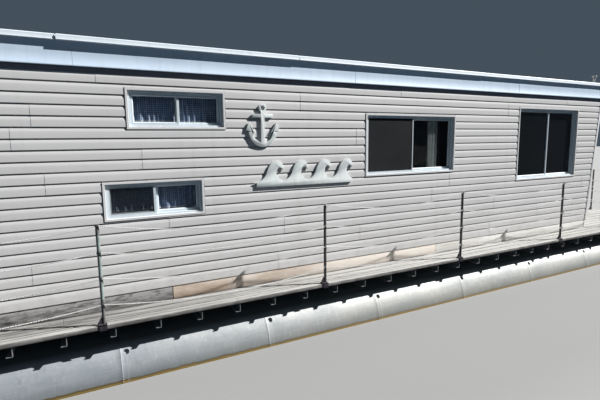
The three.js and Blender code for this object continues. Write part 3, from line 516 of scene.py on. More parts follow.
@dataclass(frozen=True)
class Roofing(Finish):
    """Grey rolled roofing with granules, and a tone of its own for each strip."""

    def draw(self, graph: Graph) -> bpy.types.Material:
        """Draws granules, dried puddles and leaf dust."""
        grit = graph.noise(EVEN, 240.0, 3, 0.8)
        tone = graph.tint(shade(150, 151, 150), shade(104, 105, 105), grit, 0.35, 0.7)
        tone = graph.tint(tone, shade(118, 112, 98), graph.noise(EVEN, 1.1, 6, 0.65), 0.45, 0.68, 0.5)
        tone = graph.tint(tone, shade(88, 90, 92), graph.mark(), 0.0, 1.0, 0.25)
        return graph.close(tone, 0.9, normal=graph.bump(grit, 0.6, 0.0015))


@dataclass(frozen=True)
class Lining(Finish):
    """Inside lining: plain panels with upright joints."""

    base: Colour = shade(112, 100, 84)
    pitch: float = 0.15

    def draw(self, graph: Graph) -> bpy.types.Material:
        """Draws panel joints and a faint grain."""
        grain = graph.noise((30.0, 30.0, 1.5), 1.0, 6, 0.6)
        tone = graph.tint(self.base, shade(94, 82, 66), grain, 0.4, 0.7)
        along = graph.math("ADD", graph.axis("X"), graph.axis("Y"))
        joint = graph.level(graph.math("FRACT", graph.math("DIVIDE", along, self.pitch)), 0.0, 0.04, 1.0, 0.0)
        tone = graph.blend(joint, tone, shade(60, 52, 42))
        return graph.close(tone, 0.7, normal=graph.bump(joint, 0.5, -0.003))


class Palette(Enum):
    """The boat's finishes."""

    SIDING = Vinyl("siding_vinyl", shade(209, 207, 205))
    CORNER = Vinyl("corner_vinyl", shade(220, 218, 217), grain=0.0001)
    WHITE = Coated("white_vinyl", shade(200, 209, 214), shade(140, 142, 136), 0.35, (0.4, 0.55))
    # Painted reflection: the fascia's blue tint stands for the sky mirrored in its white metal.
    FASCIA = Coated("fascia_coat", shade(198, 214, 230), shade(150, 160, 172), 0.3, (0.5, 0.62), 0.0, 0.0009)
    EDGE = Coated("edge_coat", shade(226, 234, 240), shade(168, 176, 184), 0.3, (0.42, 0.56))
    ORNAMENT = Coated("ornament_coat", shade(206, 211, 209), shade(140, 142, 136), 0.45, (0.35, 0.5),
                      ripple=0.0008)
    # Painted light: the deck grows paler toward the bow.
    DECK = Timber("deck_timber", shade(138, 137, 134), shade(94, 91, 88), shade(178, 176, 171), 0.85,
                  bleach_and_painted_light=(-3.4, 0.6))
    OLD = Timber("old_board", shade(178, 176, 173), shade(120, 118, 116), shade(158, 157, 155), 0.8, 0.8)
    PALE = Timber("pale_board", shade(222, 220, 214), shade(184, 180, 172), shade(232, 230, 226), 0.35)
    NEW = Timber("new_board", shade(180, 158, 138), shade(150, 129, 109), shade(240, 232, 222), 0.35,
                 bleach_and_painted_light=(-1.9, 0.1))
    FLOOR = Timber("floor_timber", shade(112, 94, 72), shade(84, 68, 52), shade(120, 104, 84), 0.2)
    # Painted shade: the frieze board's darker grey stands for the shade under the fascia.
    FRIEZE = Coated("frieze_board", shade(152, 146, 156), shade(112, 106, 112), 0.5, (0.6, 0.8))
    ZINC = Zinc("weathered_zinc")
    SCREW = Zinc("screw_zinc", shade(120, 118, 114), 0.6)
    TUBE = RustyTube("rusty_tube")
    BRACKET = RustyTube("bracket_steel", shade(44, 40, 46), shade(68, 63, 72), 0.15)
    ROPE = Fibre("guard_rope_fibre")
    LASHING = Fibre("lashing_fibre", shade(214, 213, 208), shade(160, 156, 146))
    KNOT = Fibre("dark_knot_fibre", shade(66, 66, 68), shade(44, 42, 42))
    CURTAIN = Weave("curtain_weave")
    DRAPE = Weave("drape_weave", shade(226, 232, 226), shade(204, 210, 204), shade(238, 242, 238),
                  stripe=0.11, check=0.4)
    # The panes' veils are painted light: dark ones for the shade of the room behind, a blue one over the
    # curtains for the sky's reflection.
    GLASS = Pane("window_pane")
    CLEAR = Pane("curtained_pane", shade(30, 42, 62), 0.14)
    ROOM = Pane("room_pane", shade(12, 14, 14), 0.22)
    SCREEN = Mesh("insect_screen")
    FINE_SCREEN = Mesh("fine_screen", shade(31, 42, 52), (0.30, 0.44))
    ROOFING = Roofing("rolled_roofing")
    LINING = Lining("inside_lining")
    PLATE = Plate("pontoon_plate", 0.467, -2.943, 1.490, 0.734)
    WELD = Zinc("weld_bead", shade(184, 187, 188), 0.05)
    ALLOY = Coated("cast_alloy", shade(150, 154, 156), shade(96, 96, 92), 0.4, (0.32, 0.5), 0.8, 0.0005)
    COWL = Coated("cowl_paint", shade(42, 46, 52), shade(92, 92, 88), 0.2, (0.22, 0.36), ripple=0.0003,
                  coat=0.5)
    BLACK = Coated("black_plastic", shade(30, 31, 32), shade(80, 78, 72), 0.3, (0.5, 0.65))


class Draft:
    """Collects points and faces, with a number marked on each face, and makes one finished mesh of them."""

    def __init__(self) -> None:
        """Starts empty."""
        self.points: list[Point] = []
        self.faces: list[tuple[int, ...]] = []
        self.marks: list[float] = []
        self.mark = 0.0

    def face(self, *corners: int) -> None:
        """Adds one face by its corners' numbers."""
        self.faces.append(corners)
        self.marks.append(self.mark)

    def loft(self, rings: Sequence[Sequence[Point]], wrap: bool = False) -> None:
        """Joins rings of equally many points, and closes the ends unless the last ring joins the first."""
        start, count = len(self.points), len(rings[0])
        for ring in rings:
            self.points.extend(tuple(point) for point in ring)
        for r in range(len(rings) if wrap else len(rings) - 1):
            a, b = start + r * count, start + ((r + 1) % len(rings)) * count
            for i in range(count):
                j = (i + 1) % count
                self.face(a + i, a + j, b + j, b + i)
        if not wrap:
            self.face(*range(start + count - 1, start - 1, -1))
            self.face(*range(start + (len(rings) - 1) * count, start + len(rings) * count))

    def box(self, low: Point, high: Point, round_by: float = 0.0) -> None:
        """Adds a box, its long edges rounded where round_by says so."""
        sizes = [high[k] - low[k] for k in range(3)]
        long = max(range(3), key=lambda k: sizes[k])
        u, v = [k for k in range(3) if k != long]
        section = rounded((low[u], high[u]), (low[v], high[v]), round_by)

        def put(place: float, pair: Pair) -> Point:
            """Gives one corner at one end."""
            spot = [0.0, 0.0, 0.0]
            spot[long], spot[u], spot[v] = place, pair[0], pair[1]
            return (spot[0], spot[1], spot[2])

        self.loft([[put(place, pair) for pair in section] for place in (low[long], high[long])])

    def tube(self, path: Sequence[Point], radius: float, sides: int = 12) -> None:
        """Adds a round tube along a path."""
        line = [Vector(point) for point in path]
        ahead, turned, rings = Vector((0, 0, 1)), Matrix.Identity(3), []
        for i, point in enumerate(line):
            step = (line[min(i + 1, len(line) - 1)] - line[max(i - 1, 0)]).normalized()
            turned = ahead.rotation_difference(step).to_matrix() @ turned
            ahead = step
            ring = [Vector((math.cos(t), math.sin(t), 0)) * radius for t in angles(sides)]
            rings.append([tuple(point + turned @ spot) for spot in ring])
        self.loft(rings)

    def turned(self, profile: Sequence[Pair], centre: Point = HERE, axis: int = 2, sides: int = 32) -> None:
        """Adds a turned shape.

        Args:
            profile: Pairs of radius and place along the axis, from end to end.
            centre: Where the axis starts.
            axis: 0, 1 or 2 for X, Y or Z.
            sides: Faces around it.
        """
        u, v = [k for k in range(3) if k != axis]
        rings = []
        for radius, along in profile:
            ring = []
            for t in angles(sides):
                spot = list(centre)
                spot[axis] += along
                spot[u] += max(radius, MERGE) * math.cos(t)
                spot[v] += max(radius, MERGE) * math.sin(t)
                ring.append((spot[0], spot[1], spot[2]))
            rings.append(ring)
        self.loft(rings)

    def mesh(self, name: str) -> bpy.types.Mesh:
        """Gives the mesh, its close points merged and its faces turned outwards."""
        mesh = bpy.data.meshes.new(name)
        mesh.from_pydata(self.points, [], self.faces)
        mesh.attributes.new("mark", "FLOAT", "FACE").data.foreach_set("value", self.marks)
        work = bmesh.new()
        work.from_mesh(mesh)
        bmesh.ops.remove_doubles(work, verts=work.verts, dist=MERGE)
        bmesh.ops.recalc_face_normals(work, faces=work.faces)
        work.to_mesh(mesh)
        work.free()
        return mesh


def lathe(profile: Sequence[Pair], axis: int = 2, sides: int = 8) -> Draft:
    """Draws one small turned part around the origin."""
    draft = Draft()
    draft.turned(profile, axis=axis, sides=sides)
    return draft


def angles(count: int) -> list[float]:
    """Gives evenly spaced turns of a whole circle."""
    return [2 * math.pi * i / count for i in range(count)]


def spread(low: float, high: float, step: float) -> list[float]:
    """Gives places from low to high, both included, at most a step apart."""
    count = max(1, math.ceil((high - low) / step))
    return [low + (high - low) * i / count for i in range(count + 1)]


def power(value: float, share: float) -> float:
    """Raises a value to a power and keeps its sign."""
    return math.copysign(abs(value) ** share, value)


def rounded(u: Pair, v: Pair, radius: float, steps: int = 2) -> list[Pair]:
    """Gives a rectangle's outline, its corners rounded where the radius isn't zero."""
    if radius <= 0:
        return [(u[0], v[0]), (u[1], v[0]), (u[1], v[1]), (u[0], v[1])]
    corners = ((u[1] - radius, v[0] + radius, -90), (u[1] - radius, v[1] - radius, 0),
               (u[0] + radius, v[1] - radius, 90), (u[0] + radius, v[0] + radius, 180))
    turns = [[math.radians(start + 90 * k / steps) for k in range(steps + 1)] for _, _, start in corners]
    return [(cu + radius * math.cos(t), cv + radius * math.sin(t))
            for (cu, cv, _), row in zip(corners, turns) for t in row]


def clipped(section: Sequence[Pair], low: float, high: float) -> list[Pair]:
    """Cuts a closed outline of (out, up) pairs to the heights between low and high."""
    for limit, sign in ((low, 1), (high, -1)):
        kept: list[Pair] = []
        for (a_out, a_up), (b_out, b_up) in zip(section, [*section[1:], *section[:1]]):
            a_in, b_in = sign * (a_up - limit) >= 0, sign * (b_up - limit) >= 0
            if a_in:
                kept.append((a_out, a_up))
            if a_in != b_in:
                share = (limit - a_up) / (b_up - a_up)
                kept.append((a_out + (b_out - a_out) * share, limit))
        section = kept
    return list(section)


def linked(name: str, data: bpy.types.ID) -> bpy.types.Object:
    """Makes an object of its data and puts it in the scene."""
    piece = bpy.data.objects.new(name, data)
    bpy.context.scene.collection.objects.link(piece)
    return piece


def settle(piece: bpy.types.Object) -> bpy.types.Object:
    """Turns a piece and its modifiers into one plain mesh."""
    graph = bpy.context.evaluated_depsgraph_get()
    mesh = bpy.data.meshes.new_from_object(piece.evaluated_get(graph))
    piece.modifiers.clear()
    piece.data = mesh
    return piece


def smooth(piece: bpy.types.Object, crease: float = CREASE) -> None:
    """Shades a piece smooth and keeps the edges sharp that turn by more than so many degrees."""
    piece.data.shade_smooth()
    piece.data.set_sharp_from_angle(angle=math.radians(crease))


def seat(piece: bpy.types.Object, nodes: Iterable[str] = (),
         body: Body = Body.HULL) -> bpy.types.Object:
    """Makes a piece ride on its body, and hides the solids that it stands for."""
    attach(piece, body.value)
    if nodes:
        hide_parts(*nodes)
    LOG.info("%s: %d faces on %s", piece.name, len(piece.data.polygons), body.value)
    return piece


def finished(name: str, mesh: bpy.types.Mesh, finish: Palette, bevel: float = 0.0,
             crease: float = CREASE) -> bpy.types.Object:
    """Makes an object of a mesh in place: its finish, its edges rounded by a bevel, and smooth shading."""
    piece = linked(name, mesh)
    if bevel:
        edge = piece.modifiers.new("edge", "BEVEL")
        edge.width, edge.segments, edge.limit_method = bevel, BEVEL_STEPS, "ANGLE"
        edge.angle_limit = math.radians(BEVEL_ANGLE)
        settle(piece)
    piece.data.materials.clear()
    piece.data.materials.append(finish.value.material())
    smooth(piece, crease)
    return piece


def add(name: str, draft: Draft, finish: Palette, nodes: Iterable[str] = (),
        body: Body = Body.HULL, bevel: float = 0.0, crease: float = CREASE) -> bpy.types.Object:
    """Makes a finished piece of a draft and seats it.

    Args:
        name: The piece's name.
        draft: Its shape, in place.
        finish: Its finish.
        nodes: The solids that it stands for.
        body: The body that it rides on.
        bevel: Width of its rounded edges, or zero.
        crease: Edges sharper than this many degrees stay sharp.

    Returns:
        The piece.
    """
    return seat(finished(name, draft.mesh(name), finish, bevel, crease), nodes, body)


def add_copy(name: str, node: str, finish: Palette, bevel: float, body: Body = Body.HULL,
             flat: float = 1.0, crease: float = CREASE) -> bpy.types.Object:
    """Makes a finished piece of a solid's own shape: merged, its flat faces joined, its edges rounded.

    Args:
        name: The new piece's name.
        node: The solid that it copies and stands for.
        finish: Its finish.
        bevel: Width of its rounded edges.
        body: The body that it rides on.
        flat: Faces within this many degrees become one.
        crease: Edges sharper than this many degrees stay sharp.

    Returns:
        The new piece.
    """
    work = bmesh.new()
    work.from_mesh(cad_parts[node].data)
    bmesh.ops.remove_doubles(work, verts=work.verts, dist=MERGE)
    bmesh.ops.dissolve_limit(work, angle_limit=math.radians(flat), verts=work.verts, edges=work.edges)
    mesh = bpy.data.meshes.new(name)
    work.to_mesh(mesh)
    work.free()
    return seat(finished(name, mesh, finish, bevel, crease), [node], body)


@dataclass(frozen=True)
class Plan:
    """The levels and edges that the sub-assemblies share, read from the frame where it has them."""

    waterline: float = 0.467
    deck_bottom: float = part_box("cabin_floor")[0].z
    deck_top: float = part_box("cabin_floor")[1].z
    floor_bow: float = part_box("cabin_floor")[1].x
    half_beam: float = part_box("walkway_port")[1].y
    deck_stern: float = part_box("stern_deck")[0].x
    deck_bow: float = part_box("walkway_port")[1].x
    cabin_half: float = -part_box("wall_starboard")[0].y
    cabin_stern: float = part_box("wall_starboard")[0].x
    siding_bottom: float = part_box("skirt_port")[1].z + SEAM
    siding_top: float = 3.334
    wall_top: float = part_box("wall_starboard")[1].z
    bow_foot: float = 4.990
    bow_head: float = 5.230
    bow_low: float = 1.209
    rake: float = (bow_head - bow_foot) / (siding_top - bow_low)
    wall: float = 0.090

    def bow_edge(self, up: float) -> float:
        """Gives the bow wall's face at a height."""
        return self.bow_foot + self.rake * (up - self.siding_bottom)


PLAN = Plan()


@dataclass(frozen=True)
class WallFace:
    """One wall's outer face, on which pieces are placed by (along, out, up)."""

    side: Side

    def at(self, along: float, out: float, up: float) -> Point:
        """Gives a place: along is X on a side wall and Y on an end wall, out is from the siding's face."""
        if self.side is Side.STERN:
            return (PLAN.cabin_stern - out, along, up)
        if self.side is Side.BOW:
            return (PLAN.bow_edge(up) + out, along, up)
        sign = -1 if self.side is Side.STARBOARD else 1
        return (min(along, PLAN.bow_edge(up)), sign * (PLAN.cabin_half + out), up)

    def prism(self, draft: Draft, section: Sequence[Pair], places: Sequence[float],
              lift: Callable[[float], float]) -> None:
        """Draws a section of (out, up) pairs along the wall, lifted outwards by what each place says."""
        draft.loft([[self.at(along, out + lift(along), up) for out, up in section] for along in places])

    def mitred(self, draft: Draft, along: Pair, up: Pair, profile: Sequence[Pair]) -> None:
        """Draws a profile of (inset, out) pairs round a rectangle, mitred at its corners."""
        corners = ((along[0], up[0], 1, 1), (along[1], up[0], -1, 1), (along[1], up[1], -1, -1),
                   (along[0], up[1], 1, -1))
        draft.loft([[self.at(a + inward_a * inset, out, z + inward_z * inset) for inset, out in profile]
                    for a, z, inward_a, inward_z in corners], wrap=True)

    def panel(self, draft: Draft, along: Pair, up: Pair, out: Pair,
              holes: Sequence[tuple[Pair, Pair]] = ()) -> None:
        """Draws a flat panel with square holes cut through it.

        Args:
            draft: Where to draw.
            along: Its ends.
            up: Its foot and head.
            out: Its inner and outer faces.
            holes: Each hole's ends and heights.
        """
        places = sorted({*along, *(x for hole in holes for x in hole[0])})
        levels = sorted({*up, *(z for hole in holes for z in hole[1])})

        def filled(i: int, j: int) -> bool:
            """Tells whether a cell of the panel is there and isn't a hole."""
            if not (0 <= i < len(places) - 1 and 0 <= j < len(levels) - 1):
                return False
            x, z = (places[i] + places[i + 1]) / 2, (levels[j] + levels[j + 1]) / 2
            return not any(a[0] < x < a[1] and h[0] < z < h[1] for a, h in holes)

        def quad(*corners: Point) -> None:
            """Adds one face of four corners."""
            start = len(draft.points)
            draft.points.extend(self.at(*corner) for corner in corners)
            draft.face(start, start + 1, start + 2, start + 3)

        cells = [(i, j) for i in range(len(places) - 1) for j in range(len(levels) - 1) if filled(i, j)]
        for i, j in cells:
            (a, b), (c, d) = places[i:i + 2], levels[j:j + 2]
            for depth in out:
                quad((a, depth, c), (b, depth, c), (b, depth, d), (a, depth, d))
            for di, dj, p, q in ((-1, 0, (a, c), (a, d)), (1, 0, (b, c), (b, d)),
                                 (0, -1, (a, c), (b, c)), (0, 1, (a, d), (b, d))):
                if not filled(i + di, j + dj):
                    quad((p[0], out[0], p[1]), (p[0], out[1], p[1]), (q[0], out[1], q[1]),
                         (q[0], out[0], q[1]))


class Tree(Nodes):
    """One Geometry Nodes tree with named inputs."""

    def __init__(self, name: str, **asked: str) -> None:
        """Starts a tree that takes geometry and other named inputs of a kind, and gives geometry."""
        super().__init__(bpy.data.node_groups.new(name, "GeometryNodeTree"), "GeometryNode")
        self.tree.is_modifier = True
        sockets = [("Geometry", "OUTPUT", "Geometry"), ("Geometry", "INPUT", "Geometry"),
                   *((wish, "INPUT", kind) for wish, kind in asked.items())]
        for wish, way, kind in sockets:
            self.tree.interface.new_socket(wish, in_out=way, socket_type=f"NodeSocket{kind}")
        self.given = self.tree.nodes.new("NodeGroupInput").outputs
        self.end = self.tree.nodes.new("NodeGroupOutput")

    def close(self, geometry: Socket) -> bpy.types.NodeTree:
        """Realizes instances, sets the material and ends the tree."""
        real = self.node("RealizeInstances", {"Geometry": geometry})
        painted = self.node("SetMaterial", {"Geometry": real, "Material": self.given["Material"]})
        self.put(self.end.inputs[0], painted)
        return self.tree


def run_tree(piece: bpy.types.Object, tree: bpy.types.NodeTree, **values: object) -> bpy.types.Object:
    """Runs a tree on a piece and gives a plain mesh piece of the same name.

    Args:
        piece: The piece, a mesh or a curve.
        tree: The tree to run.
        **values: What each named input is set to.

    Returns:
        The new piece.
    """
    steps = piece.modifiers.new("shape", "NODES")
    steps.node_group = tree
    for item in tree.interface.items_tree:
        if item.in_out == "INPUT" and item.name in values:
            steps[item.identifier] = values[item.name]
    graph = bpy.context.evaluated_depsgraph_get()
    mesh = bpy.data.meshes.new_from_object(piece.evaluated_get(graph))
    name = piece.name
    bpy.data.objects.remove(piece)
    made = linked(name, mesh)
    smooth(made, TREE_CREASE)
    return made


class ScatterTree:
    """The tree that puts a copy of one small part at each point, turned as the point says."""

    def __init__(self) -> None:
        """Builds the tree: instances on points, with a seeded size."""
        tree = Tree("scatter", Part="Object", Wear="Float", Seed="Int", Material="Material")
        source = tree.node("ObjectInfo", {"Object": tree.given["Part"]}, "Geometry",
                           transform_space="ORIGINAL")
        turn = tree.node("InputNamedAttribute", {"Name": "turn"}, data_type="FLOAT_VECTOR")
        low = tree.math("SUBTRACT", 1.0, tree.given["Wear"])
        size = tree.node("FunctionNodeRandomValue", {"Seed": tree.given["Seed"], 2: low, 3: 1.0}, 1,
                         data_type="FLOAT")
        self.group = tree.close(tree.node("InstanceOnPoints", {
            "Points": tree.given["Geometry"], "Instance": source, "Rotation": turn, "Scale": size}))

    def run(self, name: str, part: Draft, spots: Sequence[tuple[Point, Point]], finish: Palette, slot: Slot,
            seed: int, wear: float = 0.0) -> None:
        """Scatters a part and seats the piece on the hull.

        Args:
            name: The new piece's name.
            part: The part, around the origin.
            spots: Each copy's place and turn.
            finish: Its finish.
            slot: Its material slot; not used.
            seed: Seed of the random size.
            wear: How much smaller a copy may be.
        """
        model = bpy.data.objects.new(f"{name}_part", part.mesh(f"{name}_part"))
        cloud = bpy.data.meshes.new(name)
        cloud.from_pydata([place for place, _ in spots], [], [])
        turn = cloud.attributes.new("turn", "FLOAT_VECTOR", "POINT")
        turn.data.foreach_set("vector", [value for _, turned in spots for value in turned])
        made = run_tree(linked(name, cloud), self.group, Part=model, Wear=wear, Seed=seed,
                        Material=finish.value.material())
        bpy.data.objects.remove(model)
        seat(made)


class RopeTree:
    """The tree that lays a three-strand rope along a curve: a lobed section that turns as it goes."""

    PITCH, STEP, GROOVE = 0.055, 0.011, 0.68

    def __init__(self) -> None:
        """Builds the tree: resample, tilt by length, sweep a lobed section."""
        tree = Tree("laid_rope", Radius="Float", Pitch="Float", Step="Float", Material="Material")
        radius = tree.given["Radius"]
        even = tree.node("ResampleCurve", {"Curve": tree.given["Geometry"], "Length": tree.given["Step"]},
                         mode="LENGTH")
        turns = tree.math("DIVIDE", tree.node("SplineParameter", {}, "Length"), tree.given["Pitch"])
        laid = tree.node("SetCurveTilt", {"Curve": even, "Tilt": tree.times(turns, 2 * math.pi)})
        lobes = tree.node("CurveStar", {"Points": 3, "Inner Radius": tree.times(radius, self.GROOVE),
                                        "Outer Radius": radius})
        swept = tree.node("CurveToMesh", {"Curve": laid, "Profile Curve": lobes, "Fill Caps": True})
        self.group = tree.close(swept)

    def run(self, name: str, path: Sequence[Point], radius: float, finish: Palette) -> bpy.types.Object:
        """Lays a rope of a radius along the points of its middle line."""
        curve = bpy.data.curves.new(name, "CURVE")
        curve.dimensions = "3D"
        line = curve.splines.new("POLY")
        line.points.add(len(path) - 1)
        for spot, point in zip(line.points, path):
            spot.co = (*point, 1.0)
        return run_tree(linked(name, curve), self.group, Radius=radius, Pitch=self.PITCH, Step=self.STEP,
                        Material=finish.value.material())


@dataclass
class Tools:
    """The trees that several sub-assemblies share."""

    scatter: ScatterTree = field(default_factory=ScatterTree)
    rope: RopeTree = field(default_factory=RopeTree)


@dataclass
class Pontoons:
    """The two plated floats."""

    tools: Tools
    nose: float = 1.150
    nose_rise: float = 0.82
    cone: Pair = (0.070, 0.090)
    plate: float = 1.490
    seam_first: float = -2.995
    seam_half: float = 0.007
    seam_margin: float = 0.2
    station: float = 0.09
    sides: int = 80
    lumps: int = 180
    hole_first: float = -2.943
    hole_level: float = 0.734
    hole_radius: float = 0.0260
    hole_range: range = range(-2, 7)
    dent: float = 0.0035
    bead: float = 0.0018

    def radius(self, x: float, low: Vector, high: Vector, whole: float) -> float:
        """Gives the float's radius at a place along it."""
        if x < low.x + self.cone[1]:
            return whole - self.cone[0] * (1 - (x - low.x) / self.cone[1])
        along = max(0.0, (x - (high.x - self.nose)) / self.nose)
        return whole * math.cos(math.asin(min(1.0, along))) ** 0.8

    def seams(self, low: float, high: float) -> list[float]:
        """Gives the places of the plate seams between two ends."""
        first = math.ceil((low - self.seam_first) / self.plate)
        last = math.floor((high - self.seam_first) / self.plate)
        return [self.seam_first + i * self.plate for i in range(first, last + 1)]

    def float_body(self, node: str) -> Draft:
        """Draws one float: dented plates between raised weld seams, a stern cone and a lifted nose."""
        low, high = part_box(node)
        whole, y = (high.y - low.y) / 2 - self.bead, (low.y + high.y) / 2
        seams = self.seams(low.x + self.seam_margin, high.x - self.nose * 0.55)
        nose = [high.x - self.nose + self.nose * math.sin(t * math.pi / 2) for t in spread(0, 1, 0.05)]
        steps = (0.05, self.seam_half, self.seam_half / 2)
        places = sorted({*spread(low.x + self.cone[1], nose[0], self.station), *nose, low.x, *seams,
                         *(s + sign * d for s in seams for d in steps for sign in (-1, 1))})
        draft, rings = Draft(), []
        for x in places:
            base = self.radius(x, low, high, whole)
            near = min((abs(x - s) for s in seams), default=1.0)
            raised = self.bead * max(0.0, 1 - near / self.seam_half)
            lift = (whole - base) * self.nose_rise if x > high.x - self.nose else 0.0
            ring = []
            for t in angles(self.sides):
                spot = Vector((x * 0.9, math.cos(t) * 1.1 + y, math.sin(t) * 1.1))
                deep = self.dent * max(0.0, noise.noise(spot)) * min(1.0, near * 6)
                r = max(base + raised - deep, 1e-4)
                ring.append((x, y + r * math.cos(t), low.z + whole + self.bead + lift + r * math.sin(t)))
            rings.append(ring)
        draft.loft(rings)
        return draft

    def holes(self, node: str) -> Draft:
        """Draws the cutter for the drain holes on the outer side."""
        low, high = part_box(node)
        whole, y = (high.y - low.y) / 2, (low.y + high.y) / 2
        rise = (self.hole_level - whole) / whole
        out = Vector((0, math.copysign(math.sqrt(1 - rise * rise), y), rise))
        draft = Draft()
        for i in self.hole_range:
            heart = Vector((self.hole_first + i * self.plate, y, whole + low.z))
            ends = [tuple(heart + out * reach) for reach in (whole * 0.94, whole + 0.03)]
            draft.tube(ends, self.hole_radius, 20)
        return draft

    def build(self) -> None:
        """Builds both floats, their holes and the weld lumps along their seams."""
        for name in ("starboard", "port"):
            node = f"pontoon_{name}"
            piece = finished(f"float_{name}", self.float_body(node).mesh(node), Palette.PLATE)
            cutter = linked("holes", self.holes(node).mesh("holes"))
            cut = piece.modifiers.new("cut", "BOOLEAN")
            cut.object, cut.operation, cut.solver = cutter, "DIFFERENCE", "EXACT"
            settle(piece)
            bpy.data.objects.remove(cutter)
            smooth(piece)
            seat(piece, [node])
            self.welds(node, name)

    def welds(self, node: str, name: str) -> None:
        """Lays small weld lumps round each plate seam."""
        low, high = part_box(node)
        whole, y = (high.y - low.y) / 2 - 0.001, (low.y + high.y) / 2
        lump = lathe([(0.0, -0.003), (0.0055, 0.0), (0.004, 0.0012), (0.0, 0.0016)])
        spots = [((x, y + whole * math.cos(t), low.z + whole + 0.001 + (whole - 0.003) * math.sin(t)),
                  (t - math.pi / 2, 0.0, 0.0))
                 for x in self.seams(low.x + self.seam_margin, high.x - self.nose - 0.05)
                 for t in angles(self.lumps)]
        self.tools.scatter.run(f"welds_{name}", lump, spots, Palette.WELD, Slot.PONTOON, 3, 0.3)


@dataclass
class DeckFrame:
    """The channel joists and their bearers, with the bolts that hold them."""

    tools: Tools
    first: float = -6.622
    spacing: float = 0.400
    count: int = 35
    flange: float = 0.050
    flange_top: float = 0.940
    bolt_off: float = 0.035

    def build(self) -> None:
        """Builds the frame and its bolts."""
        add_copy("joists", "deck_frame", Palette.ZINC, 0.0012)
        low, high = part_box("pontoon_port")
        centre = (low.y + high.y) / 2
        bolt = lathe([(0.0, 0.0), (0.009, 0.0), (0.009, 0.006), (0.0055, 0.0061), (0.0055, 0.013),
                      (0.0, 0.014)], sides=6)
        places = [(i, self.first + i * self.spacing - self.flange / 2) for i in range(self.count)]
        spots = [((x, y + off, self.flange_top), (0.0, 0.0, 0.4 * i)) for i, x in places
                 for y in (-centre, centre) for off in (-self.bolt_off, self.bolt_off)]
        self.tools.scatter.run("joist_bolts", bolt, spots, Palette.SCREW, Slot.STEEL, 5)


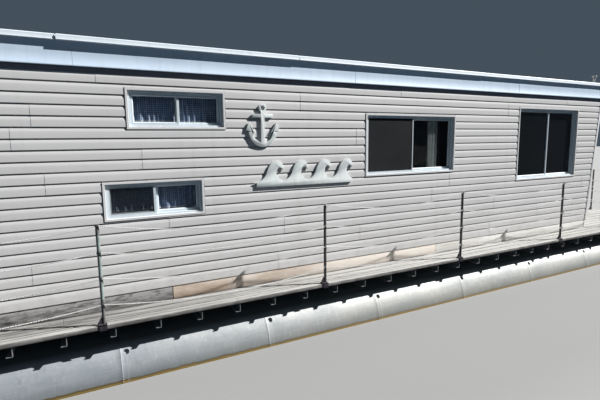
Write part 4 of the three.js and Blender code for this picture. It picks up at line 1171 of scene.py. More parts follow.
@dataclass
class Planking:
    """The deck boards and their screws."""

    tools: Tools
    gap: float = 0.009
    edge: float = 0.006
    cup: float = 0.0016
    length: float = 4.8
    stagger: float = 1.6
    station: float = 0.35
    end_gap: float = 0.0012
    bow: float = 0.0012
    sag: float = 0.0008
    screw_rows: Pair = (0.24, 0.76)
    screw_off: float = 0.004
    walk_boards: int = 3
    full_boards: int = 24
    joist: float = DeckFrame.first - DeckFrame.flange / 2
    flat: tuple[int, int] = (5, 11)
    dice: random.Random = field(default_factory=lambda: random.Random(11))

    def board(self, draft: Draft, x: Pair, y: Pair, cup: float, tone: Pair = (0.0, 1.0)) -> None:
        """Draws one board with eased edges, cupped a little across its width, its rims marked for painted
        shade.
        """
        z = (PLAN.deck_bottom, PLAN.deck_top)
        section = rounded((y[0] + self.gap / 2, y[1] - self.gap / 2), z, self.edge)
        middle, half = (y[0] + y[1]) / 2, (y[1] - y[0]) / 2
        warp = self.dice.uniform(0, 50)
        rings = []
        for place in spread(x[0] + self.end_gap, x[1] - self.end_gap, self.station):
            ring = []
            for v, w in section:
                bow = self.bow * noise.noise(Vector((place * 0.8, warp, 0)))
                sink = cup * (1 - ((v - middle) / half) ** 2) if w > (z[0] + z[1]) / 2 else 0.0
                sink += self.sag * (1 + noise.noise(Vector((place, warp, 7))))
                ring.append((place, v + bow, w - sink))
            rings.append(ring)
        draft.mark = self.dice.uniform(*tone) * 0.98
        start = len(draft.marks)
        draft.loft(rings)
        # The rims are marked for the finish's painted shade.
        for number in range((len(rings) - 1) * len(section)):
            if number % len(section) not in self.flat:
                draft.marks[start + number] += 2.0

    def joints(self, x: Pair, row: int) -> list[float]:
        """Gives where a row's boards end: on joists, and not beside the last row's ends."""
        pitch, shift = DeckFrame.spacing, (row * self.stagger) % self.length
        raw = [x[0] + shift + self.length * i for i in range(int((x[1] - x[0]) / self.length) + 1)]
        inner = [self.joist + round((spot - self.joist) / pitch) * pitch for spot in raw]
        return [x[0], *(spot for spot in inner if x[0] + 0.5 < spot < x[1] - 0.5), x[1]]

    def deck(self, name: str, node: str, x: Pair, y: Pair, boards: int) -> None:
        """Builds one deck's boards and screws.

        Args:
            name: The deck's name.
            node: The solid that it stands for.
            x: Its ends.
            y: Its sides.
            boards: How many boards lie side by side.
        """
        draft, spots = Draft(), []
        width, reach, beam = (y[1] - y[0]) / boards, self.gap / 2 - 0.001, PLAN.half_beam
        for row in range(boards):
            near, far = y[0] + row * width, y[0] + (row + 1) * width
            near -= reach if near < 0.001 - beam else 0.0
            far += reach if far > beam - 0.001 else 0.0
            tone = (0.4, 0.7) if max(abs(near), abs(far)) > beam - 0.01 else (0.0, 0.8)
            ends = self.joints(x, row)
            for board_ends in zip(ends, ends[1:]):
                self.board(draft, board_ends, (near, far), self.cup * self.dice.uniform(0.2, 1.0), tone)
            places = (self.joist + i * DeckFrame.spacing for i in range(DeckFrame.count))
            for place in (p for p in places if x[0] + 0.02 < p < x[1] - 0.02):
                for share in self.screw_rows:
                    spot = (place + self.dice.uniform(-self.screw_off, self.screw_off), near + width * share,
                            PLAN.deck_top - self.cup - 0.0006)
                    spots.append((spot, (0.0, 0.0, self.dice.uniform(0, 6))))
        add(f"planks_{name}", draft, Palette.DECK, [node])
        screw = lathe([(0.0, -0.002), (0.0042, -0.001), (0.0044, 0.0006), (0.0018, 0.0008), (0.0016, -0.0004),
                       (0.0, -0.0005)])
        self.tools.scatter.run(f"screws_{name}", screw, spots, Palette.SCREW, Slot.STEEL, 7, 0.1)

    def build(self) -> None:
        """Builds both walkways, both end decks and the cabin's floor."""
        inner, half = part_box("walkway_port")[0].y, PLAN.cabin_half
        whole, wide = (PLAN.deck_stern, PLAN.deck_bow), (-half, half)
        self.deck("walk_starboard", "walkway_starboard", whole, (-PLAN.half_beam, -inner), self.walk_boards)
        self.deck("walk_port", "walkway_port", whole, (inner, PLAN.half_beam), self.walk_boards)
        self.deck("bow", "bow_deck", (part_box("bow_deck")[0].x, PLAN.deck_bow), wide, self.full_boards)
        self.deck("stern", "stern_deck", (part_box("stern_deck")[0].x, PLAN.cabin_stern - SEAM), wide,
                  self.full_boards)
        inside, rims = Draft(), Draft()
        lines = [-half, *spread(PLAN.wall - half, half - PLAN.wall, 0.21), half]
        for a, b in zip(lines, lines[1:]):
            self.board(rims if half in (-a, b) else inside, (PLAN.cabin_stern, PLAN.floor_bow), (a, b), 0.0)
        add("floor_boards", inside, Palette.FLOOR, ["cabin_floor"])
        add("floor_rims", rims, Palette.DECK, ["cabin_floor"])


@dataclass
class GuardRail:
    """Posts, and one rope a side that runs to and fro on their outside."""

    tools: Tools
    posts: tuple[float, ...] = (-6.705, -5.000, -3.115, -0.780, 1.404, 3.677, 5.941, 7.185)
    gate_stern: float = 0.760
    gate_bow: float = 0.560
    setback: float = 0.030
    radius: float = 0.015
    paint: float = 0.0014
    sunk: float = 0.0015
    height: float = 0.927
    rope: float = 0.006
    clear: float = 0.0005
    cord: float = 0.0022
    turns: int = 5
    cord_sides: int = 14
    bulge: float = 0.0145
    levels: tuple[float, ...] = (0.915, 0.671, 0.434, 0.192)
    sags: tuple[float, ...] = (0.112, 0.090, 0.094, 0.084)
    usual_span: float = 2.27
    painted: tuple[float, ...] = (-3.115,)

    def post_spots(self, side: int) -> list[Pair]:
        """Gives the places of one side's posts, and of its gate posts."""
        y = side * (PLAN.half_beam - self.setback)
        gates = [(self.posts[0], side * self.gate_stern), (self.posts[-1], side * self.gate_bow)]
        return [*((x, y) for x in self.posts), *gates]

    def post(self, draft: Draft, x: float, y: float) -> None:
        """Draws a post's tube, with its lower end bare and what is left of its paint above, and its cap."""
        base = PLAN.deck_top - self.sunk
        knee, shoulder, top = base + 0.24, base + self.height - 0.10, base + self.height
        radius, cap = self.radius + self.paint, self.radius + self.paint + 0.0012
        for foot, head, paint in ((base, knee, 0.15), (knee, shoulder, 1.0), (shoulder, top - 0.002, 0.25)):
            draft.mark = paint if x in self.painted else 0.0
            draft.tube([(x, y, foot), (x, y, head)], radius, 16)
        draft.mark = 0.0
        draft.turned([(0.0, 0.0), (cap, 0.0), (cap, 0.010), (0.0, 0.012)], (x, y, top - 0.012), sides=16)

    def bracket(self, draft: Draft, x: float, y: float) -> None:
        """Draws a post's foot: plate, gusset and bolts, and the angle that grips the deck's edge."""
        base, beam = PLAN.deck_top - self.sunk, PLAN.half_beam
        plate = base + 0.0135
        draft.box((x - 0.056, y - 0.022, base), (x + 0.023, y + 0.022, plate), 0.002)
        web = [(-0.056, 0.012), (-0.006, 0.012), (-0.006, 0.072), (-0.022, 0.072)]
        draft.loft([[(x + u, y + off, base + w) for u, w in web] for off in (-0.010, 0.010)])
        for off_x, off_y in ((-0.044, -0.013), (-0.044, 0.013), (0.015, -0.013), (0.015, 0.013)):
            bolt = [(0.0, 0.0), (0.006, 0.0), (0.006, 0.004), (0.0, 0.006)]
            draft.turned(bolt, (x + off_x, y + off_y, plate), sides=6)
        if abs(y) < beam - 0.1:
            return
        side = math.copysign(1.0, y)
        near, far = sorted((side * (beam + SEAM), side * (beam + 0.0063)))
        draft.box((x - 0.042, near, PLAN.deck_bottom - 0.010), (x + 0.022, far, plate), 0.0015)
        near, far = sorted((side * (beam + 0.0063), side * (beam - 0.030)))
        draft.box((x - 0.042, near, base), (x + 0.022, far, base + 0.0130), 0.0015)

    def route(self, side: int) -> list[Point]:
        """Gives the rope's middle line: four runs between the gates, one below the other."""
        off = self.radius + self.rope + self.clear
        y = side * (PLAN.half_beam - self.setback + off)
        bow, stern = self.posts[-1] + off, self.posts[0] - off
        stops = [(stern, side * self.gate_stern), (stern, y), *((x, y) for x in self.posts[1:-1]),
                 (bow, y), (bow, side * self.gate_bow)]
        points: list[Point] = []
        for run, (level, sag) in enumerate(zip(self.levels, self.sags)):
            line = stops[::-1] if run % 2 else stops
            for i, (a, b) in enumerate(zip(line, line[1:])):
                drop = sag * (math.dist(a, b) / self.usual_span) ** 2
                for t in (step / 12 for step in range(0 if i == 0 else 1, 13)):
                    z = PLAN.deck_top + level - 4 * drop * t * (1 - t)
                    points.append((a[0] + (b[0] - a[0]) * t, a[1] + (b[1] - a[1]) * t, z))
        return points

    def lashing(self) -> Draft:
        """Draws a lashing around a post and the rope beside it, about its own middle."""
        turns, sides, line, out = self.turns, self.cord_sides, self.cord, self.radius + self.cord
        path = []
        for k in range(turns * sides + 1):
            t = 2 * math.pi * k / sides
            reach = out + self.bulge * max(0.0, -math.sin(t))
            path.append((out * math.cos(t), reach * math.sin(t), (k / sides - turns / 2) * 2 * line * 1.02))
        draft = Draft()
        draft.tube(path, line, 6)
        tail = [(0.004, 0.012, 0.0), (0.012, 0.020, -0.006), (0.014, 0.020, -0.030)]
        draft.tube([(x, -out - y, z) for x, y, z in tail], line, 6)
        return draft

    def ties(self, side: int) -> tuple[list[tuple[Point, Point]], list[tuple[Point, Point]]]:
        """Gives one side's lashings, each at its place and turned to its rope: the pale ones and the dark."""
        pale, dark = [], []
        face, corner = (0.0 if side < 0 else math.pi), side * math.pi / 4
        for number, (x, y) in enumerate(self.post_spots(side)):
            turn = face + {self.posts[0]: corner, self.posts[-1]: -corner}.get(x, 0.0)
            if number >= len(self.posts):
                turn = math.copysign(math.pi / 2, x)
            row = [((x, y, PLAN.deck_top + level), (0.0, 0.0, turn)) for level in self.levels]
            (dark if x in self.painted else pale).extend(row)
        return pale, dark

    def build(self) -> None:
        """Builds posts, ropes and lashings on both sides."""
        for side, name in ((-1, "starboard"), (1, "port")):
            tubes, feet = Draft(), Draft()
            for x, y in self.post_spots(side):
                self.post(tubes, x, y)
                self.bracket(feet, x, y)
            node = f"walkway_{name}"
            add(f"posts_{name}", tubes, Palette.TUBE, [node])
            add(f"brackets_{name}", feet, Palette.BRACKET, [node])
            rope = self.tools.rope.run(f"rope_{name}", self.route(side), self.rope, Palette.ROPE)
            seat(rope, [f"guard_rope_{name}"])
            pale, dark = self.ties(side)
            scatter = self.tools.scatter
            scatter.run(f"lashings_{name}", self.lashing(), pale, Palette.LASHING, Slot.ROPE, 9)
            scatter.run(f"dark_lashings_{name}", self.lashing(), dark, Palette.KNOT, Slot.ROPE, 10)


@dataclass(frozen=True)
class Opening:
    """One window's opening in a side wall, and whether it has curtains, a drape drawn back, a screen."""

    name: str
    curtained: bool = False
    drawn: bool = False
    screened: bool = False

    def frame(self) -> tuple[Pair, Pair]:
        """Gives the frame's ends along X, and its foot and head."""
        low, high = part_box(f"frame_{self.name}_starboard")
        return (low.x, high.x), (low.z, high.z)


OPENINGS = (Opening("high", curtained=True), Opening("low", curtained=True, screened=True),
            Opening("middle", drawn=True, screened=True), Opening("forward"))


@dataclass
class Siding:
    """A wall's lap siding, its core with the inside lining, and what trims them."""

    side: Side
    lap: float = 0.0058
    slot: float = 0.0145
    slot_depth: float = 0.021
    course: float = 0.1016
    line: float = 3.253
    backing: float = -0.024
    panel: float = 3.61
    slack: float = 0.006
    past_bow: float = 9.0
    rows: tuple[float, ...] = (-1.209, -0.051, -1.128, 1.178, -2.100, -3.497, -2.657, -3.724, -3.561, 2.712,
                               0.589)

    def butts(self) -> list[float]:
        """Gives the height of each course's lower edge, from the bottom, and the siding's top."""
        count = round((self.line - PLAN.siding_bottom) / self.course)
        rising = [self.line - i * self.course for i in range(count)][::-1]
        return [PLAN.siding_bottom, *(z for z in rising if z > PLAN.siding_bottom + 0.05), PLAN.siding_top]

    def section(self, low: float, middle: float | None, high: float) -> list[Pair]:
        """Gives a panel's closed section: one or two courses, each leaning out to its butt below a slot."""
        points = [(self.backing, high), (self.backing, low)]
        feet = [low] if middle is None else [low, middle]
        for foot, head in zip(feet, [*feet[1:], high]):
            slotted = head < PLAN.siding_top - 0.001
            top = head - (self.slot if slotted else 0.001)
            inner = -(self.slot_depth if slotted else self.lap)
            rise = top - foot
            points += [(-self.slot_depth, foot), (-0.0012, foot), (0.0, foot + 0.0012),
                       (0.0, foot + rise * 0.62), (-self.lap * 0.14, foot + rise * 0.72),
                       (-self.lap * 0.45, foot + rise * 0.84), (-self.lap, top - 0.001),
                       (-self.lap - 0.001, top), (inner, top), (inner, head - 0.0002)]
        return points

    def extent(self) -> Pair:
        """Gives the wall's ends."""
        inner = PLAN.cabin_half - PLAN.wall
        long = self.side in (Side.STARBOARD, Side.PORT)
        return (PLAN.cabin_stern, self.past_bow) if long else (-inner, inner)

    def holes(self, slack: float) -> list[tuple[Pair, Pair]]:
        """Gives the openings in the wall, wider by a slack."""
        if self.side in (Side.STARBOARD, Side.PORT):
            raw = [opening.frame() for opening in OPENINGS]
        else:
            low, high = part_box(f"{self.side.value}_door_frame")
            raw = [((low.y, high.y), (low.z, high.z))]
        return [((a - slack, b + slack), (c - slack * 0.5, d + slack * 0.5)) for (a, b), (c, d) in raw]

    def strips(self, face: WallFace) -> Draft:
        """Draws the panels, row by row, notched round the openings."""
        draft, ends, butts = Draft(), self.extent(), self.butts()
        last = min(ends[1], PLAN.bow_foot)
        rows = [(butts[i], butts[i + 1], butts[i + 2]) for i in range(0, len(butts) - 2, 2)]
        if len(butts) % 2 == 0:
            rows.append((butts[-2], None, butts[-1]))
        for number, (low, middle, high) in enumerate(rows):
            seam = self.rows[number % len(self.rows)] + (0.0 if self.side is Side.STARBOARD else 1.17)
            inner = [seam + self.panel * k for k in range(-3, 4)]
            cuts = [ends[0], *(x for x in inner if ends[0] + 0.15 < x < last - 0.15), ends[1]]
            for a, b in zip(cuts, cuts[1:]):
                draft.mark = noise.noise(Vector((a * 3.1, low * 7.7, 1.3))) * 0.5 + 0.5
                self.strip(draft, face, (a, b), self.section(low, middle, high), (low, high))
        return draft

    def strip(self, draft: Draft, face: WallFace, ends: Pair, section: list[Pair], levels: Pair) -> None:
        """Draws one panel, split where openings cut it."""
        holes = [h for h in self.holes(self.slack) if h[0][0] < ends[1] and h[0][1] > ends[0]
                 and h[1][0] < levels[1] and h[1][1] > levels[0]]
        places = sorted({ends[0], ends[1], *(x for h in holes for x in h[0] if ends[0] < x < ends[1])})
        span = min(ends[1], PLAN.bow_foot + 0.3) - ends[0]

        def lift(along: float) -> float:
            """Gives how far the panel stands out, more at its lapped end."""
            wave = 0.0007 * noise.noise(Vector((along * 1.3, levels[0] * 9.0, 0.0)))
            return wave + 0.0016 * max(0.0, 1 - (along - ends[0]) / span)

        for a, b in zip(places, places[1:]):
            cut = [h[1] for h in holes if h[0][0] < (a + b) / 2 < h[0][1]]
            parts = [section]
            if cut:
                parts = [clipped(section, levels[0] - 0.01, cut[0][0]),
                         clipped(section, cut[0][1], levels[1] + 0.01)]
            stations = spread(a, min(b, PLAN.bow_foot), 0.45) + ([b] if b > PLAN.bow_foot else [])
            for part in parts:
                if len(part) > 2 and max(z for _, z in part) - min(z for _, z in part) > 0.004:
                    face.prism(draft, part, stations, lift)

    def build(self) -> None:
        """Builds the siding, the lined core behind it, and the board above it under the roof's edge, whose
        darker grey is painted shade.
        """
        face, name = WallFace(self.side), self.side.value
        node = [f"wall_{name}"]
        core, frieze = Draft(), Draft()
        face.panel(core, self.extent(), (PLAN.deck_top + SEAM, PLAN.wall_top), (-PLAN.wall, -0.036),
                   self.holes(SEAM))
        face.panel(frieze, self.extent(), (PLAN.siding_top - 0.02, PLAN.wall_top), (-0.0359, -0.0235))
        add(f"siding_{name}", self.strips(face), Palette.SIDING, node, crease=25)
        add(f"lining_{name}", core, Palette.LINING, node)
        add(f"frieze_{name}", frieze, Palette.FRIEZE, node)


@dataclass
class WallTrim:
    """Corner posts, and the skirt boards with their nails under the siding."""

    tools: Tools
    leg: float = 0.042
    proud: float = 0.004
    thick: float = 0.018
    pack: float = 0.008
    boards: tuple[tuple[str, Palette, Slot], ...] = (
        ("skirt_aft_starboard", Palette.OLD, Slot.OLD_BOARD),
        ("skirt_middle_starboard", Palette.NEW, Slot.NEW_BOARD),
        ("skirt_forward_starboard", Palette.PALE, Slot.OLD_BOARD),
        ("skirt_port", Palette.OLD, Slot.OLD_BOARD))

    def corner(self, draft: Draft, sign: int, bow: bool) -> None:
        """Draws one corner post, leaning with the bow wall where it is at the bow."""
        out, leg, thick, ahead = self.proud, self.leg, self.thick, 1 if bow else -1
        path = [(out, out), (-leg, out), (-leg, -thick), (-thick, -thick), (-thick, -leg), (out, -leg)]
        rings = []
        for z in (PLAN.siding_bottom - 0.006, PLAN.siding_top):
            x = PLAN.bow_edge(z) if bow else PLAN.cabin_stern
            rings.append([(x + ahead * u, sign * PLAN.cabin_half + sign * v, z) for u, v in path])
        draft.loft(rings)

    def build(self) -> None:
        """Builds the corner posts, the skirt boards and their nails."""
        draft = Draft()
        for sign in (-1, 1):
            for bow in (False, True):
                self.corner(draft, sign, bow)
        add("corner_posts", draft, Palette.CORNER, bevel=0.0015)
        for number, (node, finish, slot) in enumerate(self.boards):
            low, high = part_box(node)
            faces = (low.y, high.y + self.pack) if low.y > 0 else (low.y - self.pack, high.y)
            section = rounded(faces, (low.z, high.z), 0.003)
            board = Draft()
            board.mark = 0.35 + 0.2 * number
            rings = []
            for x in spread(low.x + 0.004, high.x - 0.004, 0.3):
                wave = 0.0012 * noise.noise(Vector((x * 0.7, number * 5.0, 0)))
                rings.append([(x, y + wave, z) for y, z in section])
            board.loft(rings)
            add(f"board_{node}", board, finish, [node])
        low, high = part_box("skirt_aft_starboard")
        out = low.y - self.pack - 0.0006
        spots = []
        for x in spread(low.x + 0.05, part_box("skirt_forward_starboard")[1].x - 0.05, 0.4):
            for z in (low.z + 0.03, high.z - 0.03):
                spots += [((x, out, z), HERE), ((x, -out, z), HALF_TURN)]
        self.tools.scatter.run("skirt_nails", nail(0.0035), spots, Palette.SCREW, Slot.STEEL, 13)


def nail(radius: float) -> Draft:
    """Draws a nail's head that looks along Y."""
    return lathe([(0.0, 0.0012), (radius, 0.001), (radius, -0.001), (0.0, -0.001)], axis=1)


@dataclass
class Window:
    """One sliding window: a mitred frame, two sashes, two panes, and a screen where it has one."""

    opening: Opening
    side: Side
    channel: float = 0.022
    border: float = 0.042
    stile: float = 0.033
    overlap: float = 0.018
    rim: float = 0.014
    front: float = -0.018
    outer_track: float = -0.029
    inner_track: float = -0.053
    pane: float = 0.005
    rebate: float = 0.010

    def frame_profile(self) -> list[Pair]:
        """Gives the outer frame's section as (inset, out)."""
        b, edge = self.border, self.channel - 0.0005
        return [(0.0, -0.0895), (0.0, -0.0365), (edge, -0.0365), (edge, self.front), (b - 0.0015, self.front),
                (b, self.front - 0.0015), (b, -0.074), (b + 0.006, -0.076), (b + 0.006, -0.0895)]

    def channel_profile(self) -> list[Pair]:
        """Gives the section of the channel that takes the siding's ends, as (inset, out)."""
        wide = self.channel
        return [(0.0, -0.036), (0.0, 0.0040), (0.0015, 0.0056), (wide - 0.0015, 0.0056), (wide, 0.0040),
                (wide, -0.022), (wide - 0.0015, -0.0225), (wide - 0.0015, -0.036)]

    def sash_profile(self, track: float) -> list[Pair]:
        """Gives a sash's section as (inset, out)."""
        s = self.stile
        return [(0.0, track - 0.022), (0.0, track - 0.003), (0.003, track), (s - 0.009, track),
                (s - 0.002, track - 0.006), (s, track - 0.010), (s, track - 0.022)]

    def build(self) -> None:
        """Builds the frame with its sashes, the panes, and the screen."""
        opening, face, name = self.opening, WallFace(self.side), f"{self.opening.name}_{self.side.value}"
        (a, b), (c, d) = opening.frame()
        middle, inset, sight = (a + b) / 2, self.border - 0.002, self.stile - 0.006
        lap = 0.001 if opening.screened and opening.curtained else self.overlap
        levels = (c + inset, d - inset)
        sashes = (((a + inset, middle + lap), self.outer_track),
                  ((middle - lap, b - inset), self.inner_track))
        draft, ring, glass = Draft(), Draft(), Draft()
        face.mitred(draft, (a, b), (c, d), self.frame_profile())
        face.mitred(ring, (a, b), (c, d), self.channel_profile())
        for ends, track in sashes:
            face.mitred(draft, ends, levels, self.sash_profile(track))
            face.panel(glass, (ends[0] + sight, ends[1] - sight), (levels[0] + sight, levels[1] - sight),
                       (track - 0.014 - self.pane, track - 0.014))
        # Pane veils: a blue painted sky reflection over curtains, a dark painted shade of the room elsewhere.
        tint = Palette.CLEAR if opening.curtained else Palette.ROOM if opening.drawn else Palette.GLASS
        add(f"window_{name}", draft, Palette.WHITE, [f"frame_{name}"], crease=28)
        add(f"channel_{name}", ring, Palette.CORNER, [f"frame_{name}"], crease=28)
        add(f"panes_{name}", glass, tint, [f"glass_{name}"])
        if opening.screened:
            self.screen(face, name, sashes[0][0], levels)

    def screen(self, face: WallFace, name: str, ends: Pair, levels: Pair) -> None:
        """Builds the insect screen in front of the outer sash."""
        hoop, cloth, fine = Draft(), Draft(), self.opening.curtained
        rim = self.rim + (0.008 if fine else 0.0)
        face.mitred(hoop, ends, levels, [(0.0, -0.0285), (0.0, -0.019), (rim, -0.019), (rim, -0.0285)])
        add(f"screen_frame_{name}", hoop, Palette.WHITE)
        along, up = ((low + self.rebate, high - self.rebate) for low, high in (ends, levels))
        face.panel(cloth, along, up, (-0.0238, -0.0232))
        piece = add(f"screen_{name}", cloth, Palette.FINE_SCREEN if fine else Palette.SCREEN)


@dataclass
class Curtain:
    """A pair of gathered curtains behind a window, or one that is drawn back, on a rod."""

    opening: Opening
    side: Side
    seed: int
    fullness: float = 1.45
    pleat: float = 0.062
    depth: float = 0.011
    thick: float = 0.0011
    rod_radius: float = 0.006
    peg_radius: float = 0.004
    pocket: float = 0.0085
    pocket_half: float = 0.012
    row: float = 0.03
    behind: Pair = (0.43, 0.23)
    short: Pair = (0.03, 0.012)

    def line(self, start: float, end: float, dice: random.Random) -> list[Point]:
        """Gives a curtain's pleats along the wall.

        Args:
            start: Where the cloth starts.
            end: Where it ends.
            dice: What varies the pleats.

        Returns:
            Place along, wave from -1 to 1, and its length along the cloth.
        """
        widths = [dice.uniform(0.5, 1.6) for _ in range(max(4, round((end - start) / self.pleat)))]
        spots, at, cloth = [], start, 0.0
        for width in widths:
            wide = (end - start) * width / sum(widths)
            for t in (k / 8 for k in range(8)):
                wave = math.sin(2 * math.pi * t) * (0.75 + 0.35 * width)
                spots.append((at + wide * t, wave, cloth + wide * self.fullness * t))
            at += wide
            cloth += wide * self.fullness
        return [*spots, (end, 0.0, cloth)]

    def room(self) -> tuple[Vector, Vector]:
        """Gives the room of a curtain that is drawn back to its window's forward end."""
        (_, b), (c, d) = self.opening.frame()
        aft, ahead = (b - off for off in self.behind)
        return Vector((aft, 0.0, c + self.short[0])), Vector((ahead, 0.0, d - self.short[1]))

    def rod(self, name: str, low: Vector, high: Vector, out: float, top: float) -> None:
        """Builds the rod on its two pegs."""
        face, rod = WallFace(self.side), Draft()
        rod.tube([face.at(low.x - 0.004, out, top), face.at(high.x + 0.004, out, top)], self.rod_radius)
        for x in (low.x + 0.002, high.x - 0.002):
            rod.tube([face.at(x, -PLAN.wall - SEAM, top), face.at(x, out, top)], self.peg_radius, 8)
        add(f"rod_{name}", rod, Palette.WHITE)

    def build(self) -> None:
        """Builds the rod, and the cloth with its own cut as its UV map."""
        drawn, face, name = self.opening.drawn, WallFace(self.side), f"{self.opening.name}_{self.side.value}"
        low, high = self.room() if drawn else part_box(f"curtain_{name}")
        out, top, foot = -PLAN.wall - 0.0025 - self.depth, high.z - self.pocket_half, low.z + 0.004
        self.rod(name, low, high, out, top)
        dice, middle = random.Random(31 + self.seed), (low.x + high.x) / 2
        halves = [(low.x + 0.006, middle + 0.010), (middle - 0.004, high.x - 0.006)]
        if drawn:
            halves = [(low.x + 0.006, high.x - 0.006)]
        points: list[Point] = []
        faces: list[tuple[int, ...]] = []
        cuts: list[Pair] = []
        rows, cloth_length = spread(foot, high.z, self.row), 0.0
        for start, end in halves:
            spots, first = self.line(start, end, dice), len(points)
            phase, count = dice.uniform(0, 6), len(spots)
            for z in rows:
                loose = (high.z - z) / (high.z - foot)
                ring = self.pocket if abs(z - top) < self.pocket_half else 0.0
                for x, wave, cut in spots:
                    push = wave * self.depth * (0.55 + 0.45 * loose)
                    push += 0.0015 * math.sin(9 * z + 4 * x + phase) * loose
                    sway = 0.006 * loose * noise.noise(Vector((x * 6, z * 2.5, phase)))
                    push = push * (0.35 if ring else 1.0) + ring * (1 if wave >= 0 else -1)
                    points.append(face.at(x + sway, out + push, z))
                    cuts.append((cut + cloth_length, z - foot))
            for r in range(len(rows) - 1):
                for a in range(first + r * count, first + r * count + count - 1):
                    faces.append((a, a + 1, a + 1 + count, a + count))
            cloth_length += spots[-1][2]
        mesh = bpy.data.meshes.new(name)
        mesh.from_pydata(points, [], faces)
        layer = mesh.uv_layers.new(name="cut")
        for loop in mesh.loops:
            layer.data[loop.index].uv = cuts[loop.vertex_index]
        piece = linked(f"cloth_{name}", mesh)
        wall = piece.modifiers.new("wall", "SOLIDIFY")
        wall.thickness, wall.offset = self.thick, 0.0
        settle(piece)
        piece.data.materials.append((Palette.DRAPE if drawn else Palette.CURTAIN).value.material())
        piece.data.shade_smooth()
        seat(piece, [] if drawn else [f"curtain_{name}"])


